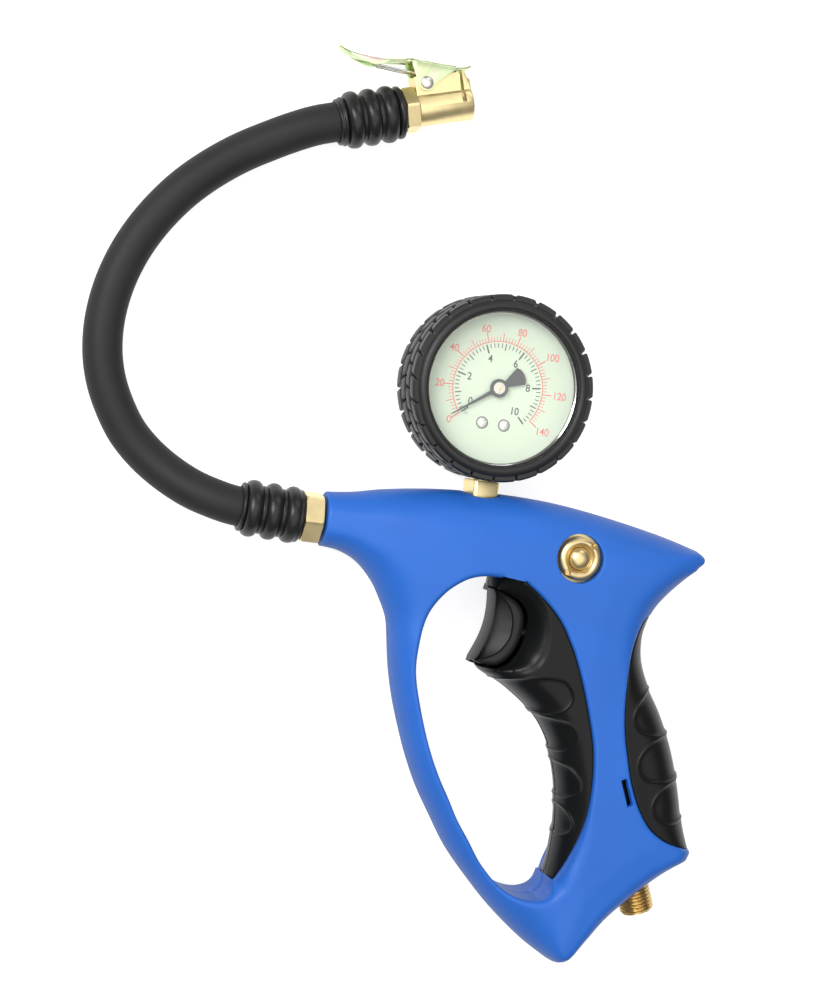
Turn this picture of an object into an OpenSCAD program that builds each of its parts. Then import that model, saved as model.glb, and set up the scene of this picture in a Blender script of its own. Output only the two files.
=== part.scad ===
// Hand-held tyre inflator for an air line: pistol grip with a finger guard, dial
// gauge in a rubber boot, short hose with a clip-on valve chuck, bleed button.
// Units are millimetres. The part lies on its right side on a flat surface, with
// +Z up through its left side, +Y towards the gauge and +X towards the tail.

/* [Body] */
// Half thickness of the handle and the barrel
half_thick = 17; // [16.8:0.1:17.4]
// Height of the hose axis above the barrel axis
hose_y = 0.8; // [0.4:0.1:1.2]
// Depth of the grips below the blue covers
grip_drop = 0.9; // [0.6:0.1:1.2]
// Wall thickness of the covers
cover_wall = 3; // [2.8:0.1:3.2]
// Radius of the cover screws' heads
screw_head_r = 3; // [2.6:0.1:3.2]

/* [Trigger] */
// How far the trigger slides into the grip
trigger_travel = 5; // [4:0.5:5.5]
// Width of the trigger
trigger_w = 12; // [11.6:0.1:12.2]
// Radius of the valve stem
stem_r = 2; // [1.9:0.01:2]

/* [Bleed button] */
// Radius of the button's domed head
button_r = 4.25; // [4.1:0.05:4.25]
// Outer radius of the brass bezel
bezel_r = 8.15; // [7.9:0.05:8.3]

/* [Gauge] */
// Height of the gauge's centre above the barrel axis
gauge_y = 57; // [56.5:0.1:57.5]
// Offset of the gauge and its stem along the barrel
gauge_x = 1.4; // [1:0.1:1.8]
// Outer radius of the gauge case
case_r = 31; // [30.9:0.1:31.1]
// Outer radius over the boot's lugs
lug_r = 34.6; // [34:0.1:35]
// Number of lugs in each row around the boot
lugs = 24; // [20:2:28]
// Angle at which the needle points at zero pressure
needle_zero = 215; // [205:1:220]

/* [Hose] */
// Outer diameter of the hose
hose_d = 14.5; // [13.5:0.1:14.5]
// Outer radius over the large ribs of the hose sleeves
sleeve_r = 10.4; // [10:0.1:10.5]

/* [Air fittings] */
// Radius over the threads of the inlet, for a G 1/4 coupling
inlet_r = 6.58; // [6.4:0.01:6.6]
// Length of the inlet's thread
inlet_len = 11; // [9:0.5:11]
// Radius of the chuck's mouth, for a standard tyre valve
mouth_r = 4; // [3.95:0.05:4.1]

/* [Hidden] */
$fn = 64;

// Where the drawing frame's origin, on the barrel axis under the gauge, lies in
// the part's frame, whose origin is under the middle of the body
org_x = -22.5;
org_y = 31.8;
z_mid = half_thick;
top = half_thick + 3;

// Colours
blue = [0.10, 0.29, 0.78];
black = [0.09, 0.09, 0.09];
rubber = [0.12, 0.12, 0.12];
brass = [0.83, 0.70, 0.42];
steel = [0.72, 0.73, 0.74];

// ---- curve tools ----
// One point of a Catmull-Rom curve through a list of points with any number of values
function cr(a, b, c, d, t) = 0.5 * (2 * b + (c - a) * t + (2 * a - 5 * b + 4 * c - d) * t * t
    + (3 * b - a - 3 * c + d) * t * t * t);
// Open curve through all points, n steps for each gap
function curve(p, n) = let (m = len(p) - 1) concat(
    [for (i = [0:m - 1], k = [0:n - 1])
      cr(p[max(i - 1, 0)], p[i], p[i + 1], p[min(i + 2, m)], k / n)], [p[m]]);
function flat(p) = [for (q = p) [q[0], q[1]]];
function rev(p) = [for (i = [len(p) - 1:-1:0]) p[i]];
function unit(v) = v / norm(v);
function way(p, i) = unit(p[min(i + 1, len(p) - 1)] - p[max(i - 1, 0)]);

// ---- outline of the body, walked clockwise: x, y, edge radius, half thickness ----
h = half_thick;
run_top = [[-57, 10.8, 10.3, 10.4], [-47, 12, 12, 12], [-36, 14.3, 14, 14],
  [-22, 16.3, 16, 16], [-8, 17.5, 17, h], [10, 18, 17, h], [26, 17.5, 17, h],
  [40, 16.1, 17, h], [55, 13.8, 17, h], [70, 11, 16, h], [80, 8.7, 13, h], [88.3, 6.4, 6, h]];
run_tail = [[88.3, 6.4, 5, 13], [90.6, 5.1, 4, 13], [91.6, 3.2, 4, 13], [91, 1.1, 4, 13], [89.4, -0.9, 5, 13]];
run_under = [[89.4, -0.9, 6, h], [84.6, -6, 12, h], [79.1, -12, 14, h], [74.7, -18, 14, h],
  [72.4, -24, 14, h], [71.6, -30, 14, h], [72.8, -38, 14, h], [77, -47, 14, h],
  [82.8, -56, 14, h], [88, -66, 14, h], [92, -76, 14, h], [95.4, -87, 14, h],
  [98, -97, 14, h], [100.5, -105, 9, h], [101.8, -108.3, 5, h]];
run_lip = [[101.8, -108.3, 4, h], [101.8, -110.1, 3.5, h], [99.8, -112.1, 4, h]];
run_foot = [[99.8, -112.1, 5, h], [90, -119.8, 9, h], [80, -128.7, 9, h], [72, -136.7, 9, h],
  [66, -143.8, 7, h], [60.3, -150.8, 5, h]];
run_tip = [[60.3, -150.8, 5, h], [58.2, -153.3, 5, h], [55.6, -154.9, 5, h], [52.8, -155.1, 5, h], [50, -153.8, 6, h]];
run_guard = [[50, -153.8, 6, h], [40, -147.5, 17, 16], [27, -137.2, 14, 15], [16, -126.5, 11, 14],
  [6.5, -116, 10, 14], [-1, -105, 10, 14], [-8, -94, 10, 14], [-13.5, -83, 10, 14],
  [-17.8, -72.5, 10, 14], [-21.7, -61.5, 10, 14], [-24.6, -50.5, 10, 14], [-26.6, -39.5, 10, 14],
  [-28.1, -33, 13, 14.3], [-31.1, -27, 17, 15], [-35.7, -19.8, 17, 15], [-42.3, -13.5, 14, 14],
  [-49.5, -10.2, 12, 12], [-57, -9.2, 10, 10.4]];
// broad roundings across the two ends of the foot
run_lip_end = [[106, -98.5, 12, h], [102.6, -107.9, 12, h], [99.2, -117.3, 12, h]];
run_tip_end = [[70, -154.7, 9, h], [57, -155.4, 9, h], [44, -156.1, 9, h]];
// front edge of the front grip, walked upwards
run_grip = [[46.6, -122.8, 10, h], [47.7, -115, 13, h], [47.9, -104, 14, h], [46.7, -92, 14, h],
  [44.2, -82, 14, h], [40.1, -71.7, 14, h], [32.8, -62.3, 13, h], [20.3, -53.2, 12, h],
  [10, -48, 10, h - 1], [8.5, -44, 10, h - 1], [8.5, -30, 10, h - 1], [9, -18, 10, h - 1],
  [9.5, -11, 10, h - 1]];
// bottom of the loop, rounded more and more towards the front grip
run_loop = [[33, -130.2, 1.2, h], [36.5, -131, 1.6, h], [40, -131, 2.2, h], [44, -129.8, 4, h], [46.5, -127, 7, h],
  [46.6, -122.8, 10, h]];
steps = 2;
outline = concat([for (r = [run_top, run_tail, run_under, run_lip, run_foot, run_tip, run_guard])
    each [for (q = [0:len(curve(flat(r), steps)) - 2]) curve(flat(r), steps)[q]]], [[-57, -9.2]]);
// inner edge of the finger guard, from the loop's top down to its bottom
guard_in = curve([[9.5, -12], [3, -12.2], [-3, -14], [-8.5, -18], [-12.5, -22.8], [-15.3, -28],
  [-16.8, -34], [-17.4, -42], [-17.2, -49], [-16, -55], [-14.2, -61], [-12, -67.5],
  [-9.2, -74.8], [-6, -82], [-2.3, -89], [2, -96], [6.4, -103.4], [11.5, -110.4],
  [16.6, -117.6], [20.8, -122.2], [25.2, -126.2], [30, -129.1], [35, -130.7],
  [40, -131], [44, -129.8], [46.5, -127], [46.6, -122.8]], 2);
front_edge = curve(flat(run_grip), 2);
// edges of the blue strip between the two grips, from the top down
strip_front = curve([[19, -12.4], [25, -16.6], [31, -21.7], [35.6, -26.9], [39, -32.4], [42, -37.8],
  [46.5, -48.3], [50.4, -59], [53.8, -70.3], [55.5, -81.5], [55.8, -92.9], [55, -101],
  [53.3, -108.5], [50.6, -117], [48, -123.3]], 1);
strip_rear = curve([[74.8, -21.5], [71.2, -20.3], [68.4, -22], [65.6, -29.3], [64.2, -36], [63.8, -44], [64, -53],
  [65.2, -63.5], [68, -74.6], [71, -84], [75, -92.3], [80, -99], [86, -103.3], [93, -105.6], [103, -107.4]], 1);

// Cuts away what lies outside a rounded edge that follows one run of the outline
module edge_cut(run, drop = 0) {
  p = curve(run, steps);
  a = [14, 36, 60, 90];
  e = len(p) - 1;
  // the sections stand between the outline's corners, the first and last just past the ends
  sec = [for (i = [0:e])
    let (g = flat(p), t = unit(0.7 * way(g, i) + 0.3 * way(g, min(i + 1, e))), n = [t[1], -t[0]],
      R = p[i][2], H = p[i][3] - drop,
      c = i == 0 ? g[0] - 0.4 * t : i == e ? g[e] + 0.4 * t : 0.7 * g[i] + 0.3 * g[i + 1])
    [for (q = rev(concat([[-4, -1], [-0.35, -1]], [for (b = a) [R * (1 - cos(b)), (H + 0.07) * sin(b)]],
        [[R, top], [-4, top]])))
      [c[0] + n[0] * q[0], c[1] + n[1] * q[0], q[1]]]];
  sweep(sec);
}

// Closed solid through a list of sections with the same number of points each
module sweep(sec) {
  m = len(sec[0]);
  polyhedron(points = [for (s = sec) each s], faces = concat(
    [[for (k = [0:m - 1]) k]],
    [for (i = [0:len(sec) - 2], k = [0:m - 1], s = [0, 1])
      let (b = i * m, c = b + m, l = (k + 1) % m)
      s == 0 ? [b + k, c + k, c + l] : [b + k, c + l, b + l]],
    [[for (k = [m - 1:-1:0]) (len(sec) - 1) * m + k]]), convexity = 10);
}

// Half of the body's rounded form, above the parting plane, with the loop open
module half_form(drop = 0) {
  difference() {
    intersection() {
      linear_extrude(h - drop) difference() {
        polygon(outline);
        polygon(concat(guard_in, [for (i = [0:len(front_edge) - 1]) front_edge[i]]));
      }
      union() {
        translate([0, -40, 0]) rotate([90, 0, 0]) mirror([0, 0, 1]) linear_extrude(75) polygon(
          [[-60, -1], [-60, 10.3], [-57, 10.3], [-50, 11.2], [-40, 12.8], [-28, 14.8], [-14, 16.4],
           [0, h], [64, h], [76, 15], [86, 12], [95, 8.6], [95, -1]]);
        translate([-60, -160, -1]) cube([170, 120.5, 20]);
      }
    }
    for (r = [run_top, run_tail, run_under, run_lip, run_lip_end, run_foot, run_tip, run_tip_end, run_guard, run_loop, run_grip])
      edge_cut(r, drop);
  }
}

// The two openings of the covers that the grips fill
module grip_zones(gap = 0) {
  offset(delta = gap) polygon(concat(
    [for (i = [len(front_edge) - 1:-1:0]) front_edge[i] - [2, 0]], rev(strip_front)));
  offset(delta = gap) polygon(concat(strip_rear, [[110, -107], [110, -22]]));
}

// Screws that hold the covers together, with the height of each one's boss
screw_on = [[-31, -16, 0], [66, 0, 13], [58, -143, 9], [38.5, -138.6, 7.5], [58, -119, 13], [92, -110, 11]];
post_on = [[52, 6.5, 9], [47.5, -140.5, 12.2]];

module cover_half() {
  union() {
    difference() {
      half_form();
      translate([0, 0, -1]) linear_extrude(30) grip_zones();
      // hollow inside, in two steps
      for (s = [[cover_wall, h - 8.5], [cover_wall + 4, h - 4.6]])
        translate([0, 0, -1]) linear_extrude(s[1] + 1) {
          offset(delta = 3 - s[0]) polygon([[-18, 12.5], [10, 14], [40, 12], [70, 7], [84, 2.4], [76, -9.5], [70, -19], [64, -27],
              [62, -38], [44, -38], [36, -27], [26, -17.5], [17, -9.5], [-2, -9], [-18, -12]]);
          offset(delta = 3 - s[0]) polygon([[54, -117], [56, -106], [76, -99], [85, -105], [94.5, -107.8], [87, -117.5], [75.5, -128.8],
              [65.5, -139.8], [56, -148.6], [50, -147], [38.5, -140.8], [35.5, -136.2], [45, -135.2], [52, -128]]);
        }
      // room for the air tube and the backs of the grips under the strip
      translate([0, 0, -1]) linear_extrude(h - 2.6) polygon(concat(
        [for (q = strip_front) if (q[1] < -20 && q[1] > -103) q - [1, 0]],
        rev([for (q = strip_rear) if (q[1] > -101 && q[1] < -22) q + [1, 0]])));
      // nose bore and the inlet's way out
      translate([-60, hose_y, 0]) rotate([0, 90, 0]) cylinder(r = 7.3, h = 46, $fn = 32);
      on_inlet(-2) cylinder(r = 7.7, h = 13.4);
      on_inlet(11) cylinder(r = 6.9, h = 4);
      on_inlet(13.7) cylinder(r = 9.7, h = 20);
      on_inlet(30) cylinder(r = 5.8, h = 40);
      // recess around the gauge's stem
      translate([gauge_x, 12.6, 0]) rotate([-90, 0, 0]) cylinder(r = 8.9, h = 20);
      translate([gauge_x - 9.5, 0, -1]) cube([19, 12.8, 11]);
    }
    // screw bosses, each on a wider foot
    for (q = screw_on) if (q[2] > 0) translate([q[0], q[1], 0]) hull() {
        translate([0, 0, 0.05]) cylinder(r = 3.4, h = 1, $fn = 16);
        translate([0, 0, q[2] - 1]) cylinder(r = 4, h = 1, $fn = 16);
      }
    // locating posts
    for (q = post_on) translate([q[0], q[1], 0]) hull() {
        translate([0, 0, 0.05]) cylinder(r = 1.6, h = 1, $fn = 12);
        translate([0, 0, q[2]]) cylinder(r = 2.2, h = 1, $fn = 12);
      }
    // saddle ribs that carry the valve body
    difference() {
      for (x = [-12, 22]) hull() {
          translate([x, -9.5, 0.05]) cube([1.6, 20, 1]);
          translate([x, -9.5, 11]) cube([2.2, 20, 1.6]);
        }
      translate([-60, hose_y, 0]) rotate([0, 90, 0]) cylinder(r = 7.4, h = 110, $fn = 32);
    }
  }
}

// ---- frames of the sub-assemblies, in the drawing frame ----
bleed_c = [38.4, -1.5];
inlet_dir = 112; // the handle's axis, measured from +X
valve_c = [46.7, -35.5]; // where the valve crosses the handle's axis
slide_dir = -8; // the trigger's way in, measured from +X
chuck_c = [-70.5, 145.9]; // the hose side end of the front sleeve
chuck_dir = 16.8;
chuck_z = 10.7 - half_thick;

// +Z runs up the handle from the inlet's mouth
module on_inlet(t) {
  translate([86.5, -134, 0]) rotate([0, 0, inlet_dir]) translate([t, 0, 0]) rotate([0, 90, 0]) children();
}
// +Z runs along the trigger's way in, from the valve's centre
module on_valve(u) {
  translate([valve_c[0], valve_c[1], 0]) rotate([0, 0, slide_dir]) translate([u, 0, 0]) rotate([0, 90, 0]) children();
}
// +Z runs along the chuck, from the front sleeve's hose end
module on_chuck(u) {
  translate([chuck_c[0], chuck_c[1], chuck_z]) rotate([0, 0, chuck_dir]) translate([u, 0, 0]) rotate([0, 90, 0]) children();
}
// X runs along the chuck, Y up to its lever, Z out of its side
module at_chuck() {
  translate([chuck_c[0], chuck_c[1], chuck_z]) rotate([0, 0, chuck_dir]) children();
}
module place() { translate([org_x, org_y, z_mid]) children(); }

module cover_left() {
  place() color(blue) union() {
    difference() {
      cover_half();
      translate([bleed_c[0], bleed_c[1], -1]) cylinder(r = 9.1, h = 30);
      for (q = screw_on) translate([q[0], q[1], -1]) cylinder(r = 1.05, h = 11, $fn = 16);
      latch_slot(0);
    }
  }
}

module latch_slot(g) {
  translate([69.2, -86.6, -1]) rotate([0, 0, 22]) translate([-1.1 + g, -5.3 + g, 0]) cube([2.2 - 2 * g, 10.6 - 2 * g, 30]);
}

module cover_right() {
  place() color(blue) mirror([0, 0, 1]) union() {
    difference() {
      cover_half();
      for (q = screw_on) translate([q[0], q[1], -1]) {
          cylinder(r = 1.65, h = 30, $fn = 16);
          translate([0, 0, 6]) cylinder(r = screw_head_r + 0.4, h = 30, $fn = 24);
        }
    }
  }
}

module cover_screws() {
  place() color(steel) for (q = screw_on) translate([q[0], q[1], 0]) {
      translate([0, 0, -7]) difference() {
        translate([0, 0, -2.2]) cylinder(r = screw_head_r, h = 2.2, $fn = 32);
        translate([-2, -0.5, -3]) cube([4, 1, 1.8]);
        translate([-0.5, -2, -3]) cube([1, 4, 1.8]);
      }
      translate([0, 0, -7.1]) cylinder(r = 1.45, h = 7, $fn = 24);
      translate([0, 0, -0.2]) cylinder(r = 0.95, h = 9.5, $fn = 24);
    }
}

cup = curve([[4, -15.9], [24, -15.9], [29.6, -20.5], [31.8, -28], [31, -37], [27, -44], [20, -47], [4, -46.8]], 2);
trig_pts = [[10.6, -17.4], [11.1, -21], [11.3, -26], [10.9, -31], [9.7, -36], [8, -40.4], [6.2, -44.4],
  [8.6, -45.4], [14.5, -45.7], [18.5, -43.4], [21.7, -38.8], [23.4, -33], [23.7, -27.6], [22.8, -24.3],
  [20.7, -21.6], [17.9, -19.8], [13, -17.9]];

module grip_half() {
  union() {
    difference() {
      union() {
        intersection() {
          half_form(grip_drop);
          translate([0, 0, -1]) linear_extrude(30) grip_zones(-0.12);
        }
        // flanges that sit under the blue strip
        linear_extrude(h - 4.2) intersection() {
          union() {
            polygon(concat([for (q = strip_front) if (q[1] < -50 && q[1] > -102) q - [1.5, 0]],
                rev([for (q = strip_front) if (q[1] < -50 && q[1] > -102) q + [2, 0]])));
            polygon(concat([for (q = strip_rear) if (q[1] < -48 && q[1] > -99) q - [2, 0]],
                rev([for (q = strip_rear) if (q[1] < -48 && q[1] > -99) q + [1.5, 0]])));
          }
          polygon(outline);
        }
      }
      // scooped sides and the pocket of the trigger
      translate([0, 0, 7.6]) linear_extrude(12) polygon(cup);
      translate([0, 0, -1]) linear_extrude(trigger_w / 2 + 1.4) polygon(
        [[2, -16.6], [13, -16.6], [25, -16.9], [29.8, -21.5], [31, -28], [30, -37], [25.6, -44.8], [18, -47.8], [2, -47.4]]);
      translate([0, 0, -1]) linear_extrude(12) offset(delta = 0.7) polygon(trig_pts);
      translate([0, 0, -1]) linear_extrude(30) polygon([[0, -16.6], [11, -16.6], [11, -46.6], [0, -46.6]]);
      // room for the valve body
      on_valve(-12.5) cylinder(r = 9.4, h = 34);
      on_valve(-30) cylinder(r = 3, h = 20, $fn = 24);
      on_inlet(70) cylinder(r = 8, h = 80);
      on_inlet(16) cylinder(r = 5.8, h = 60);
      // hollow backs
      translate([0, 0, -1]) linear_extrude(11) polygon([[49, -62], [53, -72], [55, -82], [55.2, -92], [54.2, -102],
          [52.8, -102], [52.2, -92], [50.2, -80], [46.2, -70], [43, -62]]);
      translate([0, 0, -1]) linear_extrude(11) polygon([[66, -50], [72, -50], [80, -66], [86, -82], [91, -99], [80, -96],
          [73, -86], [69, -72], [66.5, -58]]);
      translate([0, 0, 12]) linear_extrude(12) polygon([[3, -11], [3, -15], [12, -18], [25, -16], [20, -11]]);
    }
    // pegs that meet the other half of the moulding
    for (q = peg_at) translate([q[0], q[1], -0.3]) hull() {
        cylinder(r = 1.4, h = 1, $fn = 12);
        translate([0, 0, 10]) cylinder(r = 1.9, h = 1, $fn = 12);
      }
  }
}
peg_at = [[44.6, -66], [48.6, -74], [51.7, -82], [53.2, -90], [53.4, -98], [74, -58], [80, -70], [84.5, -84]];

module grip_of(rear) {
  place() color(black) for (s = [0, 1]) mirror([0, 0, s]) intersection() {
      grip_half();
      translate([0, 0, -0.5]) linear_extrude(30) if (rear)
          polygon([[62, -18], [61, -50], [62, -70], [66, -88], [76, -112], [115, -112], [115, -18]]);
        else
          polygon([[10.3, -8], [30, -8], [60.5, -40], [60, -68], [64, -88], [70, -130], [0, -130], [0, -47], [10.3, -47]]);
    }
}
module front_grip() { grip_of(false); }
module rear_grip() {
  union() {
    grip_of(true);
    // latch tab behind the slot in the left cover
    place() color(black) intersection() {
      translate([0, 0, 10]) latch_slot(0.25);
      translate([60, -96, 0]) cube([20, 20, 14.8]);
    }
  }
}

module trigger() {
  place() color(black) difference() {
    translate([0, 0, -trigger_w / 2]) linear_extrude(trigger_w) polygon(trig_pts);
    for (s = [0, 1]) mirror([0, 0, s]) translate([0, 0, 1.3]) linear_extrude(2.9)
        polygon([[14, -22], [14.3, -31], [12.6, -39.5], [18, -42], [30, -42], [30, -22]]);
  }
}

module valve_body() {
  place() color(brass) difference() {
    union() {
      translate([-56.5, hose_y, 0]) rotate([0, 90, 0]) cylinder(r = 7, h = 96);
      translate([bleed_c[0], bleed_c[1], -8.5]) cylinder(r = 9.4, h = 20.7);
      on_inlet(72.2) cylinder(r = 7.2, h = 69);
      on_valve(-12) cylinder(r = 8.8, h = 25);
      translate([gauge_x, hose_y, 0]) rotate([-90, 0, 0]) cylinder(r = 8.2, h = 10.8);
    }
    translate([-60, hose_y, 0]) rotate([0, 90, 0]) cylinder(r = 5.6, h = 11);
    translate([-50, hose_y, 0]) rotate([0, 90, 0]) cylinder(r = 2.4, h = 84);
    translate([gauge_x, hose_y, 0]) rotate([-90, 0, 0]) cylinder(r = 2.4, h = 6);
    translate([gauge_x, hose_y + 4.6, 0]) rotate([-90, 0, 0]) cylinder(r = 4.9, h = 10);
    translate([bleed_c[0], bleed_c[1], 3.2]) cylinder(r = 6.2, h = 12);
    translate([bleed_c[0], bleed_c[1], -1]) cylinder(r = 1.6, h = 6);
    on_inlet(70) cylinder(r = 2.6, h = 70);
    on_valve(-14) cylinder(r = stem_r + 0.06, h = 12);
    on_valve(-4) cylinder(r = 6, h = 20);
  }
}

module air_tube() {
  place() color(steel) on_inlet(22.2) difference() {
      cylinder(r = 5, h = 49.8);
      translate([0, 0, -1]) cylinder(r = 3.2, h = 52);
    }
}

module inlet_adapter() {
  place() color(brass) on_inlet(0) difference() {
      union() {
        cylinder(r = inlet_r, h = inlet_len);
        translate([0, 0, inlet_len - 0.1]) cylinder(r = 6.1, h = 15.2 - inlet_len);
        translate([0, 0, 15]) cylinder(r = 9.3, h = 5, $fn = 6);
        translate([0, 0, 19.9]) cylinder(r = 5, h = 2.1);
      }
      translate([0, 0, -1]) cylinder(r = 3.6, h = 12);
      translate([0, 0, 5]) cylinder(r = 2.8, h = 30);
    }
}

module inlet_washer() {
  place() color(rubber) on_inlet(13.9) difference() {
      cylinder(r = 8.9, h = 1);
      translate([0, 0, -1]) cylinder(r = 6.2, h = 3);
    }
}

module valve_stem() {
  place() color(steel) {
    on_valve(-23) cylinder(r = stem_r, h = 27);
    on_valve(-2.2) cylinder(r = 4.6, h = 2.6);
  }
}

module valve_seal() {
  place() color(rubber) on_valve(-3.8) difference() {
      cylinder(r = 4.4, h = 1.5);
      translate([0, 0, -1]) cylinder(r = stem_r + 0.02, h = 4);
    }
}

// Coil spring along +Z
module coil(r, wire, height, turns) {
  n = turns * 14;
  sweep([for (i = [0:n]) let (a = i * 360 / 14, z = wire + (height - 2 * wire) * i / n)
      [for (k = [0:5]) let (b = -k * 60) [(r + wire * cos(b)) * cos(a), (r + wire * cos(b)) * sin(a), z + wire * sin(b)]]]);
}

module valve_spring() { place() color(steel) on_valve(0.6) coil(3.6, 0.45, 10.4, 3.5); }

module valve_cap() {
  place() color(brass) on_valve(0) {
      translate([0, 0, 11.2]) cylinder(r = 5.95, h = 2.4);
      translate([0, 0, 13.2]) cylinder(r = 8, h = 3, $fn = 6);
    }
}

module bleed_button() {
  place() color(brass) translate([bleed_c[0], bleed_c[1], 0]) rotate_extrude() polygon(concat(
        [[0, 6.4], [1.9, 6.4], [1.9, 10.4], [5.6, 10.4], [5.6, 12], [button_r, 12], [button_r, 15.6]],
        [for (a = [15:15:90]) [button_r * cos(a), 15.6 + 2.6 * sin(a)]]));
}

module bleed_seal() {
  place() color(rubber) translate([bleed_c[0], bleed_c[1], 9.2]) difference() {
      cylinder(r = 5.4, h = 1.15);
      translate([0, 0, -1]) cylinder(r = 1.95, h = 4);
    }
}

module bleed_spring() { place() color(steel) translate([bleed_c[0], bleed_c[1], 3.3]) coil(3.4, 0.4, 5.8, 3); }

module bleed_bezel() {
  place() color(brass) translate([bleed_c[0], bleed_c[1], 0]) difference() {
      rotate_extrude() polygon(concat([[button_r + 0.1, 12.3], [bezel_r, 12.3], [bezel_r, 15.4]],
          [for (a = [15:15:75]) [6.2 + 1.95 * cos(a), 15.4 + 1.7 * sin(a)]],
          [[6.4, 17.1], [5.6, 16.9], [button_r + 0.4, 16.2], [button_r + 0.1, 15.6]]));
      for (a = [50, 232]) rotate([0, 0, a]) translate([6.9, 0, 15.7]) cylinder(r = 0.95, h = 3, $fn = 20);
    }
}

module hose_nut() {
  place() color(brass) translate([-65, hose_y, 0]) rotate([8, 0, 0]) rotate([0, 90, 0]) difference() {
        union() {
          cylinder(r = 9.8, h = 6.9, $fn = 6);
          translate([0, 0, 6.8]) cylinder(r = 5.5, h = 8.8);
        }
        translate([0, 0, 2]) cylinder(r = 2.4, h = 20);
      }
}

// Radius of a ribbed sleeve at a distance along it
function rib(t, len) = let (pitch = (len - 4) / 3, v = 7.7, q = (t - 2) / pitch, f = q - floor(q))
  t < 1.6 ? sleeve_r - 1.7 : t > len - 1.6 ? sleeve_r - 1.7 :
  v + (sleeve_r - v) * max(pow(sin(180 * min(max((f - 0.12) / 0.76, 0), 1)), 0.6),
    0.3 * pow(cos(180 * min(max(f < 0.5 ? f / 0.16 : (1 - f) / 0.16, 0), 1) / 2), 1));
module ribbed_sleeve(length) {
  difference() {
    rotate_extrude() polygon(concat([[0, 0]],
        [for (i = [0:42]) let (t = length * i / 42) [max(rib(t, length), 7.9), t]], [[0, length]]));
    translate([0, 0, -1]) cylinder(r = hose_d / 2 + 0.1, h = length + 2);
  }
}

module hose_sleeve_rear() {
  place() color(rubber) translate([-88.2, hose_y, 0]) rotate([0, 90, 0]) ribbed_sleeve(23);
}
module hose_sleeve_front() { place() color(rubber) on_chuck(0) ribbed_sleeve(25.5); }

// Middle line of the hose, from the nut at the barrel to the chuck's nut, in the drawing frame
hose_path = [[-65.1, 0.8, 0], [-77, 0.8, 0], [-89.2, 0.9, -0.1], [-98.5, 2.9, -1.5], [-107, 6, -3.9], [-116, 10.6, -6.6],
  [-124, 16.2, -8.6], [-131, 23, -9.5], [-136.4, 31, -9.6], [-140.6, 39.6, -9.6], [-143.2, 48.6, -9.6],
  [-144.2, 58, -9.6], [-143.8, 67, -9.6], [-142.2, 76, -9.6], [-139.6, 84.4, -9.6], [-136.2, 92.2, -9.6],
  [-132, 99.6, -9.6], [-127.2, 106.5, -9.6], [-121.8, 113, -9.6], [-115.7, 119, -9.6], [-109, 124.6, -9.4],
  [-102, 129.6, -9], [-94, 134.4, -8.2], [-86, 138.8, -7.2], [-78, 142.6, -6.5], [-70.5, 145.9, -6.3]];
module hose() {
  p = curve(concat(hose_path, [for (u = [13, 25.8]) [chuck_c[0] + u * cos(chuck_dir), chuck_c[1] + u * sin(chuck_dir), chuck_z]]), 1);
  n = len(p) - 1;
  place() color(rubber) sweep([for (i = [0:n]) let (t = i == 0 ? [-1, 0, 0] : i == n ? [cos(chuck_dir), sin(chuck_dir), 0] : way(p, i),
          s = unit(cross([0, 0, 1], t)), w = cross(t, s))
        [for (k = [0:11]) let (a = k * 30 + 15) p[i] + hose_d / 2 * (s * cos(a) + w * sin(a))]]);
}

module chuck_nut() {
  place() color(brass) on_chuck(26) rotate([0, 0, 10]) difference() {
        cylinder(r = 8.7, h = 5.3, $fn = 6);
        translate([0, 0, 1]) cylinder(r = 2.5, h = 20);
      }
}

module chuck_body() {
  place() color(brass) difference() {
    union() {
      on_chuck(31.4) cylinder(r = 6.6, h = 20);
      at_chuck() translate([31.5, 0, -4.9]) cube([19.8, 11.4, 9.8]);
    }
    on_chuck(30) cylinder(r = 2.2, h = 20);
    on_chuck(36.8) cylinder(r = 3.4, h = 5);
    on_chuck(41) cylinder(r = mouth_r, h = 12);
    at_chuck() translate([46.8, -0.2, -9]) cube([2.7, 14, 18]);
    at_chuck() translate([34.5, 8.6, -9]) cylinder(r = 1.55, h = 18);
  }
}

module chuck_seal() {
  place() color(rubber) on_chuck(38.8) difference() {
      cylinder(r = 3.35, h = 2);
      translate([0, 0, -1]) cylinder(r = 2.2, h = 5);
    }
}

module chuck_pin() {
  place() color(brass) {
    on_chuck(34.8) cylinder(r = 1.1, h = 5.8);
    on_chuck(36.85) difference() {
      cylinder(r = 3.35, h = 1.8);
      for (a = [0:120:240]) rotate([0, 0, a]) translate([2.2, 0, -1]) cylinder(r = 0.7, h = 5, $fn = 20);
    }
  }
}

rivet_c = [34.5, 8.6];
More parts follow.
